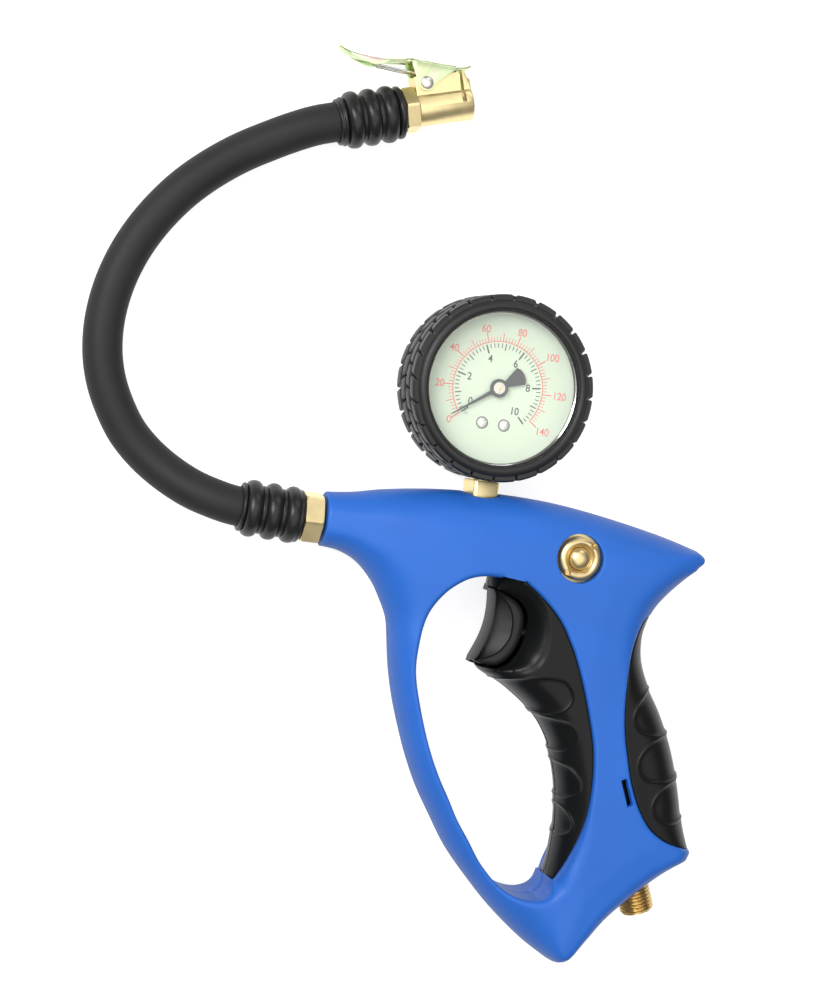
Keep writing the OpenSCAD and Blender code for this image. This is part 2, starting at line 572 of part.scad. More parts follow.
// Strip of even thickness along a line
function strip(p, t) = concat([for (i = [0:len(p) - 1]) p[i]],
    [for (i = [len(p) - 1:-1:0]) let (w = way(p, i)) p[i] - t * [-w[1], w[0]]]);
module clip_lever() {
  place() color(steel) at_chuck() difference() {
      union() {
        translate([0, 0, -5]) linear_extrude(10) polygon(strip(curve([[6, 25.5], [9.5, 24.2], [14, 22.4], [19, 20.8],
                [25, 19.2], [30.2, 18], [36, 16.4], [42, 14.6], [47.4, 13.2], [50.5, 12.9], [53, 13.2]], 2), 0.9));
        translate([0, 0, -6.3]) linear_extrude(12.6) polygon(strip([[30.4, 17.9], [36, 16.4], [42, 14.6], [47, 13.3]], 0.9));
        translate([0, 0, -3]) linear_extrude(6) polygon([[47.1, 4.7], [48, 4.3], [48, 12.6], [47.1, 12.6]]);
        for (z = [-6.3, 5.3]) translate([0, 0, z]) linear_extrude(1)
            polygon([[29.4, 17.6], [30.4, 17.9], [36, 16.4], [42, 14.6], [47, 13.3], [46.8, 12.2], [40, 8.8], [36.6, 6.2],
                [34.5, 5.4], [32.4, 6.2], [31.3, 8.6], [30.4, 13]]);
      }
      translate([rivet_c[0], rivet_c[1], -9]) cylinder(r = 1.6, h = 18);
    }
}

module clip_rivet() {
  place() color(steel) at_chuck() translate([rivet_c[0], rivet_c[1], 0]) {
      translate([0, 0, -6.6]) cylinder(r = 1.52, h = 13.2);
      for (s = [0, 1]) mirror([0, 0, s]) translate([0, 0, 6.4]) rotate_extrude() polygon(
            concat([[0, 0]], [for (a = [0:18:90]) [2.4 * cos(a), 1 * sin(a)]]));
    }
}

spring_line = [[19.5, 18.6], [20, 17.4], [23, 16.4], [28, 15], [33, 13.4], [36, 12.7], [38.5, 12.6]];
module clip_spring() {
  place() color(steel) at_chuck() translate([0, 0, 2.6]) sweep([for (i = [0:len(spring_line) - 1])
        let (w = way(spring_line, i), n = [-w[1], w[0]])
        [for (k = [0:7]) [spring_line[i][0] + 0.5 * n[0] * cos(k * 45), spring_line[i][1] + 0.5 * n[1] * cos(k * 45), 0.5 * sin(k * 45)]]]);
}

// ---- gauge ----
module at_gauge(z) { translate([gauge_x, gauge_y, z]) children(); }

module gauge_stem() {
  place() color(brass) difference() {
    union() {
      // square block between the cover and the boot, with cut corners
      translate([gauge_x, 12.9, 0]) rotate([-90, 0, 0]) rotate([0, 0, 11]) linear_extrude(9.3) polygon(
        [[-5.4, -4.4], [-4.4, -5.4], [4.4, -5.4], [5.4, -4.4], [5.4, 4.4], [4.4, 5.4], [-4.4, 5.4], [-5.4, 4.4]]);
      translate([gauge_x, 5.6, 0]) rotate([-90, 0, 0]) cylinder(r = 4.8, h = 20);
      translate([gauge_x, 25, 0]) rotate([-90, 0, 0]) cylinder(r = 3.2, h = 10);
      at_gauge(-10.6) translate([-5, -27, 0]) cube([10, 8, 9]);
    }
    translate([gauge_x, 4, 0]) rotate([-90, 0, 0]) cylinder(r = 1.8, h = 28);
  }
}

module gauge_case() {
  place() color(steel) at_gauge(0) difference() {
      rotate_extrude() polygon([[0, -12.6], [case_r - 1, -12.6], [case_r, -11.6], [case_r, 9.4], [case_r - 0.8, 9.4],
            [case_r - 0.8, -11.8], [0, -11.8]]);
      translate([0, 0, 0]) rotate([90, 0, 0]) cylinder(r = 5, h = 40);
    }
}

module lug_ring(z, height, turn) {
  translate([0, 0, z]) rotate([0, 0, turn]) linear_extrude(height) polygon([for (i = [0:lugs - 1], q = [[-0.36, 0], [-0.30, 1], [0.30, 1], [0.36, 0]])
          let (a = 360 / lugs * (i + q[0]), r = q[1] == 1 ? lug_r : lug_r - 1.5) [r * cos(a), r * sin(a)]]);
}
module gauge_boot() {
  place() color(rubber) at_gauge(0) difference() {
      union() {
        rotate_extrude() polygon([[0, -14], [31, -14], [33, -12.6], [33, 12.6], [31.4, 14], [29.6, 14], [28.9, 13.2], [28.9, 11.1], [0, 11.1]]);
        lug_ring(-12.4, 7.2, 0);
        lug_ring(-4, 8, 180 / lugs);
        lug_ring(5.2, 7.2, 0);
      }
      translate([0, 0, -12.7]) cylinder(r = case_r + 0.1, h = 23.7);
      translate([0, 0, 10]) cylinder(r = 28.9, h = 5);
      translate([0, 0, -15]) cylinder(r = 24, h = 5);
      rotate([90, 0, 0]) cylinder(r = 5.2, h = 40);
    }
}

module gauge_bezel() {
  place() color(steel) at_gauge(0) rotate_extrude() polygon([[28.9, 9.5], [30.9, 9.5], [30.9, 10.6], [30.2, 10.9], [29.2, 10.7]]);
}

module gauge_lens() { place() color([0.9, 0.95, 0.95, 0.3]) at_gauge(7.2) cylinder(r = 30.1, h = 2.1); }

module gauge_dial() {
  place() color([0.86, 0.92, 0.82]) at_gauge(3.6) difference() {
      cylinder(r = 30, h = 0.6);
      translate([0, 0, -1]) cylinder(r = 1.6, h = 3);
      for (x = [-4.25, 4.25]) translate([x, -13.4, -1]) cylinder(r = 1.1, h = 3);
    }
}

module dial_screws() {
  place() color(steel) at_gauge(0) for (x = [-4.25, 4.25]) translate([x, -13.4, 0]) {
        translate([0, 0, 2.3]) cylinder(r = 1, h = 2);
        translate([0, 0, 4.25]) difference() {
          cylinder(r = 1.8, h = 0.8);
          translate([-2, -0.25, 0.4]) cube([4, 0.5, 1]);
        }
      }
}

module gauge_needle() {
  place() color(black) at_gauge(5.7) difference() {
      union() {
        rotate([0, 0, needle_zero]) linear_extrude(0.5) polygon([[-9.4, -3.4], [-10.2, 0], [-9.4, 3.4], [-3, 0.9],
              [0, 1.3], [20, 0.4], [21, 0], [20, -0.4], [0, -1.3], [-3, -0.9]]);
        cylinder(r = 3, h = 0.9);
      }
      translate([0, 0, -1]) cylinder(r = 0.62, h = 3);
    }
}

pin_teeth = 8;
sec_teeth = 56;
gear_m = 0.5;
function tooth(r, n, i, ded) = let (p = 360 / n, c = i * p)
  [for (q = [[-0.5, -ded], [-0.3, -ded], [-0.19, 0], [-0.1, 0.36], [0.1, 0.36], [0.19, 0], [0.3, -ded]])
    let (a = c + q[0] * p, s = r + q[1]) [s * cos(a), s * sin(a)]];

module needle_arbor() {
  place() color(brass) at_gauge(0) {
      translate([0, 0, -8.8]) cylinder(r = 0.6, h = 15.3);
      translate([0, 0, -5.2]) linear_extrude(2.6) polygon([for (i = [0:pin_teeth - 1]) each tooth(gear_m * pin_teeth / 2, pin_teeth, i, 0.55)]);
    }
}

module sector_gear() {
  place() color(brass) at_gauge(0) translate([0, -16, 0]) difference() {
        union() {
          translate([0, 0, -4.4]) linear_extrude(1) polygon(concat([[0, 0]],
              [for (i = [-9:2]) each [for (q = tooth(gear_m * sec_teeth / 2, sec_teeth, i + 0.5, 0.55)) [-q[1], q[0]]]]));
          translate([0, 0, -7.4]) cylinder(r = 2.2, h = 7.6);
        }
        translate([0, 0, -9]) cylinder(r = 0.95, h = 12);
      }
}

module movement_frame() {
  place() color(brass) at_gauge(0) difference() {
      union() {
        for (z = [-8.9, 0.9]) translate([-6, -19, z]) cube([12, 22, 1]);
        for (x = [-4.25, 4.25]) translate([x, x > 0 ? 1.6 : -17.5, -8]) cylinder(r = 1.3, h = 9);
        for (x = [-4.25, 4.25]) translate([x, -13.4, 1.8]) cylinder(r = 1.7, h = 1.75);
        translate([0, -16, -8.5]) cylinder(r = 0.88, h = 9.6);
      }
      translate([0, 0, -10]) cylinder(r = 0.66, h = 14);
      for (x = [-4.25, 4.25]) translate([x, -13.4, 1]) cylinder(r = 1.05, h = 4);
    }
}

module bourdon_tube() {
  place() color(brass) at_gauge(-10) rotate([0, 0, -76]) difference() {
        rotate_extrude(angle = 262) polygon([[22, 0.8], [22.6, 0], [24.2, 0], [24.8, 0.8], [24.8, 6.2], [24.2, 7], [22.6, 7], [22, 6.2]]);
      }
}

cover_left();
cover_right();
front_grip();
rear_grip();
cover_screws();
valve_body();
air_tube();
inlet_adapter();
inlet_washer();
valve_stem();
valve_seal();
valve_spring();
valve_cap();
trigger();
bleed_button();
bleed_seal();
bleed_spring();
bleed_bezel();
hose_nut();
hose_sleeve_rear();
hose();
hose_sleeve_front();
chuck_nut();
chuck_body();
chuck_seal();
chuck_pin();
clip_lever();
clip_rivet();
clip_spring();
gauge_stem();
gauge_case();
gauge_boot();
gauge_bezel();
gauge_lens();
gauge_dial();
gauge_needle();
needle_arbor();
dial_screws();
bourdon_tube();
movement_frame();
sector_gear();
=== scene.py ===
"""Looks of the hand-held tyre inflator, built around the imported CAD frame.

Lengths in the tables are millimetres in the drawing frame of the body (origin on the
barrel's axis under the gauge, Z out of the left side). at() turns them into the row
frame in metres.
"""
import math
import bpy
import bmesh
import numpy as np
from mathutils import Matrix, Vector
from mathutils.geometry import delaunay_2d_cdt


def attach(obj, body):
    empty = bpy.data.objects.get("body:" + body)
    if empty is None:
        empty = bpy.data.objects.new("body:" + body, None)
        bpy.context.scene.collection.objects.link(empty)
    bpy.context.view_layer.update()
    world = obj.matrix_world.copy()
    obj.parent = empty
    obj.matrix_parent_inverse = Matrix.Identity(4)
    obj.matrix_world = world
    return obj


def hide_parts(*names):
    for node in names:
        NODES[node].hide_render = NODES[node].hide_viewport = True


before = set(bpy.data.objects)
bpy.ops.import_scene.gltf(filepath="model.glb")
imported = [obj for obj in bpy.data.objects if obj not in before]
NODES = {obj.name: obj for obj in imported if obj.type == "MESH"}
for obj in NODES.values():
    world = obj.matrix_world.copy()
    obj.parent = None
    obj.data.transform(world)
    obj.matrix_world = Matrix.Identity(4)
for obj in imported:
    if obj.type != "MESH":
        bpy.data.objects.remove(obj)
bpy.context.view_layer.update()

scene = bpy.context.scene
ORG = np.array([-22.5, 31.8, 17.0])


def at(v):
    return (np.atleast_2d(np.asarray(v, float)) + ORG) / 1000.0


# ------------------------------------------------------------------ camera
cam_data = bpy.data.cameras.new("camera")
cam_data.sensor_width = 36
cam_data.sensor_fit = "VERTICAL"
cam_data.sensor_height = 36
cam_data.lens = 79.2
cam_data.clip_start = 0.05
cam = bpy.data.objects.new("camera", cam_data)
scene.collection.objects.link(cam)
rt, up, bk = ((0.960433, 0.13498, 0.243615), (-0.122443, 0.990281, -0.065966), (-0.250151, 0.033527, 0.967626))
cam.matrix_world = Matrix((
    (rt[0], up[0], bk[0], -0.2525195),
    (rt[1], up[1], bk[1], 0.0705241),
    (rt[2], up[2], bk[2], 0.8046476),
    (0, 0, 0, 1)))
scene.camera = cam


# ------------------------------------------------------------------ small tools
def curve(p, n):
    """Open Catmull-Rom curve through all points, n steps for each gap."""
    p = np.asarray(p, float)
    m = len(p) - 1
    out = []
    for i in range(m):
        a, b, c, d = p[max(i - 1, 0)], p[i], p[i + 1], p[min(i + 2, m)]
        for k in range(n):
            t = k / n
            out.append(0.5 * (2 * b + (c - a) * t + (2 * a - 5 * b + 4 * c - d) * t * t + (3 * b - a - 3 * c + d) * t ** 3))
    out.append(p[-1])
    return np.array(out)


def ring_curve(p, n):
    """Closed Catmull-Rom curve."""
    p = np.asarray(p, float)
    q = np.vstack([p[-2:], p, p[:3]])
    c = curve(q, n)
    return c[2 * n:(2 + len(p)) * n]


def respace(p, step, closed=False):
    """Points at even steps along a line, keeping its ends."""
    p = np.asarray(p, float)
    if closed:
        p = np.vstack([p, p[:1]])
    s = np.concatenate([[0], np.cumsum(np.linalg.norm(np.diff(p, axis=0), axis=1))])
    n = max(int(round(s[-1] / step)), 2)
    t = np.linspace(0, s[-1], n + 1)
    out = np.stack([np.interp(t, s, p[:, k]) for k in range(p.shape[1])], 1)
    return out[:-1] if closed else out


def smooth01(x):
    x = np.clip(x, 0, 1)
    return x * x * (3 - 2 * x)


def smin(a, b, k):
    h = np.maximum(k - np.abs(a - b), 0) / np.maximum(k, 1e-9)
    return np.minimum(a, b) - h * h * k / 4


def near(q, line, closed=False):
    """Distance from points to a line in the plane, and the line's other columns there."""
    line = np.asarray(line, float)
    if closed:
        line = np.vstack([line, line[:1]])
    a, b = line[:-1], line[1:]
    ab = (b - a)[:, :2]
    l2 = np.maximum((ab ** 2).sum(1), 1e-12)
    dist = np.empty(len(q))
    rest = np.empty((len(q), line.shape[1] - 2))
    for i in range(0, len(q), 3000):
        w = q[i:i + 3000, None, :2] - a[None, :, :2]
        t = np.clip((w * ab).sum(2) / l2, 0, 1)
        d2 = ((w - t[..., None] * ab) ** 2).sum(2)
        j = d2.argmin(1)
        r = np.arange(len(j))
        dist[i:i + 3000] = np.sqrt(d2[r, j])
        tj = t[r, j][:, None]
        rest[i:i + 3000] = a[j, 2:] * (1 - tj) + b[j, 2:] * tj
    return dist, rest


def inside(q, poly):
    """Which points lie in a closed polygon."""
    poly = np.asarray(poly, float)[:, :2]
    x1, y1 = poly[:, 0], poly[:, 1]
    x2, y2 = np.roll(x1, -1), np.roll(y1, -1)
    out = np.zeros(len(q), bool)
    dy = np.where(np.abs(y2 - y1) < 1e-12, 1e-12, y2 - y1)
    for i in range(0, len(q), 4000):
        x, y = q[i:i + 4000, 0:1], q[i:i + 4000, 1:2]
        c = (y1 > y) != (y2 > y)
        xi = (x2 - x1) * (y - y1) / dy + x1
        out[i:i + 4000] = ((c & (x < xi)).sum(1) % 2).astype(bool)
    return out


def signed(q, poly):
    d, _ = near(q, poly, True)
    return np.where(inside(q, poly), -d, d)


def piece(name, verts, faces, mat, body="body", rep=(), sharp=32.0, recalc=False, metres=False):
    """A mesh piece from millimetres in the drawing frame."""
    v = np.asarray(verts, float) if metres else at(verts)
    me = bpy.data.meshes.new(name)
    me.from_pydata([tuple(x) for x in v.tolist()], [], [tuple(int(i) for i in f) for f in faces])
    if recalc:
        bm = bmesh.new()
        bm.from_mesh(me)
        bmesh.ops.recalc_face_normals(bm, faces=bm.faces)
        bm.to_mesh(me)
        bm.free()
    me.update()
    me.shade_smooth()
    me.set_sharp_from_angle(angle=math.radians(sharp))
    ob = bpy.data.objects.new(name, me)
    scene.collection.objects.link(ob)
    me.materials.append(mat)
    if body:
        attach(ob, body)
    if rep:
        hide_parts(*rep)
    return ob


def settle(ob, sharp=32.0):
    """Applies an object's modifiers to its mesh."""
    dg = bpy.context.evaluated_depsgraph_get()
    dg.update()
    me = bpy.data.meshes.new_from_object(ob.evaluated_get(dg), depsgraph=dg)
    me.name = ob.name
    ob.modifiers.clear()
    ob.data = me
    me.shade_smooth()
    me.set_sharp_from_angle(angle=math.radians(sharp))
    return ob


def cut_with(ob, tool, op="DIFFERENCE"):
    m = ob.modifiers.new("cut", "BOOLEAN")
    m.operation = op
    m.solver = "EXACT"
    m.object = tool
    settle(ob)
    bpy.data.objects.remove(tool)
    return ob


def bevel(ob, width, segments=2, angle=35, sharp=32.0):
    m = ob.modifiers.new("bevel", "BEVEL")
    m.width = width / 1000
    m.segments = segments
    m.limit_method = "ANGLE"
    m.angle_limit = math.radians(angle)
    m.harden_normals = False
    return settle(ob, sharp)


def lathe(prof, n=96, closed=False, rad=None, dz=None):
    """Turned form about local Z from (radius, height) pairs. rad and dz shape it by angle."""
    V, R = [], []
    for r, z in prof:
        if r < 1e-7:
            R.append([len(V)])
            V.append((0, 0, z))
        else:
            R.append(list(range(len(V), len(V) + n)))
            for k in range(n):
                a = 2 * math.pi * k / n
                q = rad(r, z, a) if rad else r
                V.append((q * math.cos(a), q * math.sin(a), z + (dz(r, z, a) if dz else 0)))
    F = []
    pairs = list(zip(R, R[1:])) + ([(R[-1], R[0])] if closed else [])
    for A, B in pairs:
        for k in range(n):
            l = (k + 1) % n
            if len(A) == 1 and len(B) == 1:
                continue
            if len(A) == 1:
                F.append((A[0], B[l], B[k]))
            elif len(B) == 1:
                F.append((A[k], A[l], B[0]))
            else:
                F.append((A[k], A[l], B[l], B[k]))
    return np.array(V, float), F


def prism(poly, z0, z1):
    poly = np.asarray(poly, float)
    n = len(poly)
    V = np.vstack([np.column_stack([poly, np.full(n, z0)]), np.column_stack([poly, np.full(n, z1)])])
    F = [tuple(range(n))[::-1], tuple(range(n, 2 * n))] + [(k, (k + 1) % n, n + (k + 1) % n, n + k) for k in range(n)]
    return V, F


def unit(v):
    v = np.asarray(v, float)
    return v / np.linalg.norm(v)


def put(V, origin, x, y, z):
    """Local points into the drawing frame."""
    V = np.asarray(V, float)
    return np.asarray(origin, float) + V[:, :1] * np.asarray(x) + V[:, 1:2] * np.asarray(y) + V[:, 2:3] * np.asarray(z)


def along(origin, d, roll=0.0):
    """Frame with its local Z along d, for put()."""
    z = unit(d)
    a = np.array([0, 0, 1.0]) if abs(z[2]) < 0.9 else np.array([1.0, 0, 0])
    x = unit(np.cross(a, z))
    y = np.cross(z, x)
    c, s = math.cos(math.radians(roll)), math.sin(math.radians(roll))
    return (origin, c * x + s * y, -s * x + c * y, z)


def tube(path, radius, n=24, caps=True, twist_ref=(0, 0, 1)):
    """Round tube along a path, with radius a number or one for each point."""
    p = np.asarray(path, float)
    m = len(p)
    rad = np.full(m, float(radius)) if np.isscalar(radius) else np.asarray(radius, float)
    t = np.gradient(p, axis=0)
    t /= np.linalg.norm(t, axis=1)[:, None]
    s = unit(np.cross(twist_ref, t[0]))
    V, F = [], []
    for i in range(m):
        s = unit(s - t[i] * np.dot(s, t[i]))
        w = np.cross(t[i], s)
        for k in range(n):
            a = 2 * math.pi * k / n
            V.append(p[i] + rad[i] * (s * math.cos(a) + w * math.sin(a)))
    for i in range(m - 1):
        for k in range(n):
            l = (k + 1) % n
            F.append((i * n + k, i * n + l, (i + 1) * n + l, (i + 1) * n + k))
    if caps:
        F.append(tuple(range(n))[::-1])
        F.append(tuple(range((m - 1) * n, m * n)))
    return np.array(V), F


def join_meshes(parts):
    V, F, o = [], [], 0
    for v, f in parts:
        V.append(np.asarray(v, float))
        F += [tuple(i + o for i in q) for q in f]
        o += len(v)
    return np.vstack(V), F


# ------------------------------------------------------------------ materials
class Nodes:
    def __init__(self, name):
        self.m = bpy.data.materials.new(name)
        self.m.use_nodes = True
        self.t = self.m.node_tree
        self.b = self.t.nodes["Principled BSDF"]
        self.tc = self.add("ShaderNodeTexCoord")

    def add(self, kind, **kw):
        n = self.t.nodes.new(kind)
        for k, v in kw.items():
            setattr(n, k, v)
        return n

    def link(self, a, b):
        self.t.links.new(a, b)

    def noise(self, scale, detail=3.0, rough=0.5, stretch=None, distortion=0.0):
        n = self.add("ShaderNodeTexNoise")
        n.inputs["Scale"].default_value = scale
        n.inputs["Detail"].default_value = detail
        n.inputs["Roughness"].default_value = rough
        n.inputs["Distortion"].default_value = distortion
        if stretch:
            mp = self.add("ShaderNodeMapping")
            mp.inputs["Rotation"].default_value = [math.radians(a) for a in stretch[1]]
            mp.inputs["Scale"].default_value = stretch[0]
            self.link(self.tc.outputs["Object"], mp.inputs["Vector"])
            self.link(mp.outputs["Vector"], n.inputs["Vector"])
        else:
            self.link(self.tc.outputs["Object"], n.inputs["Vector"])
        return n.outputs["Fac"]

    def ramp(self, fac, stops, interp="LINEAR"):
        r = self.add("ShaderNodeValToRGB")
        r.color_ramp.interpolation = interp
        e = r.color_ramp.elements
        while len(e) > 1:
            e.remove(e[-1])
        e[0].position, e[0].color = stops[0][0], (*stops[0][1], 1)
        for pos, c in stops[1:]:
            x = e.new(pos)
            x.color = (*c, 1)
        self.link(fac, r.inputs["Fac"])
        return r.outputs["Color"]

    def span(self, fac, lo, hi, a=0.3, b=0.7):
        n = self.add("ShaderNodeMapRange")
        n.inputs["From Min"].default_value = a
        n.inputs["From Max"].default_value = b
        n.inputs["To Min"].default_value = lo
        n.inputs["To Max"].default_value = hi
        self.link(fac, n.inputs["Value"])
        return n.outputs["Result"]

    def mix(self, fac, a, b, kind="MIX"):
        n = self.add("ShaderNodeMix", data_type="RGBA", blend_type=kind)
        for sock, val in ((n.inputs[0], fac), (n.inputs[6], a), (n.inputs[7], b)):
            if isinstance(val, (int, float)):
                sock.default_value = val
            elif isinstance(val, tuple):
                sock.default_value = (*val, 1)
            else:
                self.link(val, sock)
        return n.outputs[2]

    def bump(self, height, strength, distance, chain=None):
        n = self.add("ShaderNodeBump")
        n.inputs["Strength"].default_value = strength
        n.inputs["Distance"].default_value = distance
        self.link(height, n.inputs["Height"])
        if chain is not None:
            self.link(chain, n.inputs["Normal"])
        return n.outputs["Normal"]

    def done(self, color=None, rough=None, normal=None, metal=None, **const):
        b = self.b
        for key, val in (("Base Color", color), ("Roughness", rough), ("Normal", normal), ("Metallic", metal)):
            if val is None:
                continue
            if isinstance(val, (int, float)):
                b.inputs[key].default_value = val
            elif isinstance(val, tuple):
                b.inputs[key].default_value = (*val, 1)
            else:
                self.link(val, b.inputs[key])
        for key, val in const.items():
            b.inputs[key.replace("_", " ")].default_value = val
        return self.m


def shade(c, f):
    return tuple(min(x * f, 1) for x in c)


def moulded(name, base, rough=0.4, grain=0.12, var=0.1, tint=None, **const):
    """Moulded plastic: faint flow clouds, fine spark-eroded grain, a few soft scuffs."""
    k = Nodes(name)
    cloud = k.noise(38, 3, 0.55)
    fine = k.noise(2600, 2, 0.6)
    streak = k.noise(95, 5, 0.7, stretch=((1, 7, 3), (0, 0, 31)))
    col = k.ramp(cloud, [(0.3, shade(base, 1 - var)), (0.7, shade(base, 1 + var))])
    col = k.mix(k.span(streak, 0, 0.06, 0.56, 0.74), col, tint or shade(base, 1.7))
    speck = k.noise(5200, 1, 0.5)
    r = k.mix(k.span(speck, 0, 1), k.span(cloud, rough - 0.03, rough + 0.03), k.span(fine, rough - 0.02, rough + 0.07))
    b1 = k.bump(fine, grain, 0.00012)
    b2 = k.bump(streak, grain * 0.35, 0.00005, b1)
    return k.done(col, r, b2, **const)


def rubbery(name, base, rough=0.55, grain=0.2, dust=0.05, **const):
    """Black rubber: matt skin with a slight bloom and pores."""
    k = Nodes(name)
    cloud = k.noise(55, 4, 0.6)
    fine = k.noise(1700, 3, 0.65)
    pores = k.noise(4300, 1, 0.5)
    col = k.ramp(cloud, [(0.3, shade(base, 0.82)), (0.72, shade(base, 1.22))])
    col = k.mix(k.span(fine, 0, dust, 0.55, 0.75), col, (0.16, 0.16, 0.155))
    r = k.span(cloud, rough - 0.05, rough + 0.06)
    b1 = k.bump(fine, grain, 0.00010)
    b2 = k.bump(pores, grain * 0.6, 0.00004, b1)
    return k.done(col, r, b2, **const)


def metal(name, base, rough=0.25, lines=None, tarnish=None, tarn=0.3, grain=0.06):
    """Machined metal with fine tool marks and slight tarnish."""
    k = Nodes(name)
    cloud = k.noise(120, 4, 0.6)
    marks = k.noise(900, 4, 0.7, stretch=lines or ((1, 1, 14), (0, 0, 0)))
    fine = k.noise(3800, 2, 0.5)
    col = k.ramp(cloud, [(0.28, shade(base, 0.9)), (0.6, base), (0.8, shade(base, 1.06))])
    col = k.mix(k.span(k.noise(310, 5, 0.7), 0, tarn, 0.52, 0.78), col, tarnish or shade(base, 0.6))
    r = k.mix(0.5, k.span(cloud, rough - 0.05, rough + 0.08), k.span(marks, rough - 0.04, rough + 0.1))
    b1 = k.bump(marks, grain, 0.00006)
    b2 = k.bump(fine, grain * 0.6, 0.00003, b1)
    return k.done(col, r, b2, metal=1.0)


BLUE = (0.020, 0.140, 0.58)
M_blue = moulded("blue_plastic", BLUE, rough=0.44, grain=0.10, var=0.04, tint=(0.05, 0.2, 0.7), Specular_IOR_Level=0.36)
M_grip = moulded("grip_plastic", (0.006, 0.0065, 0.006), rough=0.32, grain=0.14, var=0.12, tint=(0.016, 0.016, 0.016), Specular_IOR_Level=0.22)
M_trig = moulded("trigger_plastic", (0.013, 0.013, 0.0135), rough=0.42, grain=0.2, var=0.12, tint=(0.03, 0.03, 0.03), Specular_IOR_Level=0.35)
M_hose = rubbery("hose_rubber", (0.0175, 0.018, 0.0175), rough=0.58, grain=0.16, dust=0.02, Specular_IOR_Level=0.3)
M_sleeve = rubbery("sleeve_rubber", (0.012, 0.012, 0.012), rough=0.34, grain=0.12, dust=0.02, Specular_IOR_Level=0.4)
M_boot = rubbery("boot_rubber", (0.015, 0.015, 0.0145), rough=0.46, grain=0.2, dust=0.03, Specular_IOR_Level=0.45)
M_seal = rubbery("seal_rubber", (0.02, 0.02, 0.02), rough=0.6)
BRASS = (1.0, 0.82, 0.44)
M_brass = metal("brass", BRASS, rough=0.36, tarnish=(0.66, 0.48, 0.22), tarn=0.16)
M_brass_bright = metal("bright_brass", (0.80, 0.63, 0.33), rough=0.33, tarnish=(0.5, 0.32, 0.1), tarn=0.35)
M_brass_thread = metal("thread_brass", (0.78, 0.56, 0.24), rough=0.26, tarnish=(0.45, 0.28, 0.08), tarn=0.4)
M_zinc = metal("zinc_steel", (0.68, 0.69, 0.70), rough=0.28, tarnish=(0.45, 0.45, 0.46), tarn=0.2)
M_spring = metal("spring_steel", (0.74, 0.73, 0.70), rough=0.22, tarnish=(0.4, 0.38, 0.34), tarn=0.2)
M_pale = metal("pale_zinc", (0.90, 0.86, 0.82), rough=0.40, tarnish=(0.66, 0.58, 0.50), tarn=0.25)
M_chrome = metal("rim_chrome", (0.86, 0.86, 0.84), rough=0.10, tarnish=(0.7, 0.62, 0.45), tarn=0.3, grain=0.03)


def plated_material():
    """Yellow chromate over zinc: drifting yellow, green and pink."""
    k = Nodes("plated_steel")
    n = k.noise(85, 2, 0.5, distortion=1.2)
    col = k.ramp(n, [(0.30, (0.78, 0.62, 0.56)), (0.40, (0.76, 0.84, 0.52)), (0.52, (0.60, 0.78, 0.44)),
                     (0.64, (0.78, 0.82, 0.50)), (0.74, (0.80, 0.80, 0.74))])
    fine = k.noise(1500, 4, 0.7, stretch=((1, 10, 1), (0, 0, 17)))
    r = k.span(fine, 0.26, 0.36)
    b = k.bump(fine, 0.02, 0.00003)
    return k.done(col, r, b, metal=1.0)


M_plated = plated_material()


def dial_material():
    """Painted dial: pale green-white with a faint paint grain; a radial gradient darkens it towards the rim as painted
    shade from the rim and boot, so it is lighter in the middle.
    """
    k = Nodes("dial_paint")
    mp = k.add("ShaderNodeMapping")
    mp.inputs["Location"].default_value = (0.0211 / 0.030, -0.0888 / 0.030, 0)
    mp.inputs["Scale"].default_value = (1 / 0.030, 1 / 0.030, 0.001)
    k.link(k.tc.outputs["Object"], mp.inputs["Vector"])
    # radial gradient from the gauge centre: painted shade, darker towards the rim
    g = k.add("ShaderNodeTexGradient", gradient_type="SPHERICAL")
    k.link(mp.outputs["Vector"], g.inputs["Vector"])
    col = k.ramp(g.outputs["Fac"], [(0.0, (0.58, 0.67, 0.56)), (0.25, (0.67, 0.77, 0.60)), (0.7, (0.74, 0.85, 0.66))])
    fine = k.noise(2400, 3, 0.6)
    col = k.mix(k.span(fine, 0, 0.08), col, (0.82, 0.88, 0.78))
    return k.done(col, k.span(fine, 0.5, 0.62), k.bump(fine, 0.04, 0.00003))


M_dial = dial_material()


def ink(name, base):
    k = Nodes(name)
    n = k.noise(1800, 3, 0.6)
    return k.done(k.ramp(n, [(0.3, shade(base, 0.85)), (0.7, shade(base, 1.15))]), k.span(n, 0.5, 0.62), k.bump(n, 0.03, 0.00002))


M_red = ink("scale_red", (0.86, 0.22, 0.20))
M_grey = ink("scale_grey_and_painted_shadow", (0.06, 0.065, 0.07))
M_needle = ink("needle_paint", (0.035, 0.037, 0.04))
M_cream = ink("hub_cream", (0.80, 0.76, 0.66))
M_dark = ink("deep_shadow", (0.004, 0.005, 0.012))


def lens_material():
    k = Nodes("lens")
    n = k.noise(60, 2, 0.5)
    col = k.ramp(n, [(0.3, (0.9, 0.97, 0.93)), (0.7, (0.97, 1.0, 0.98))])
    m = k.done(col, k.span(n, 0.03, 0.07), None, Alpha=0.07)
    m.blend_method = "BLEND"
    return m


M_lens = lens_material()

# ------------------------------------------------------------------ hose and its fittings
CH_C = np.array([-70.5, 145.9, -6.3])
CH_A = math.radians(16.8)
CH_U = np.array([math.cos(CH_A), math.sin(CH_A), 0])
CH_V = np.array([-math.sin(CH_A), math.cos(CH_A), 0])
CH_Z = np.array([0, 0, 1.0])


def chuck(V):
    """u along the chuck, v up to its lever, z out of its side."""
    return put(V, CH_C, CH_U, CH_V, CH_Z)


def chuck_turned(V):
    """Turned form whose axis is u: local Z is u."""
    V = np.asarray(V, float)
    return put(V, CH_C, CH_Z, CH_V, CH_U)


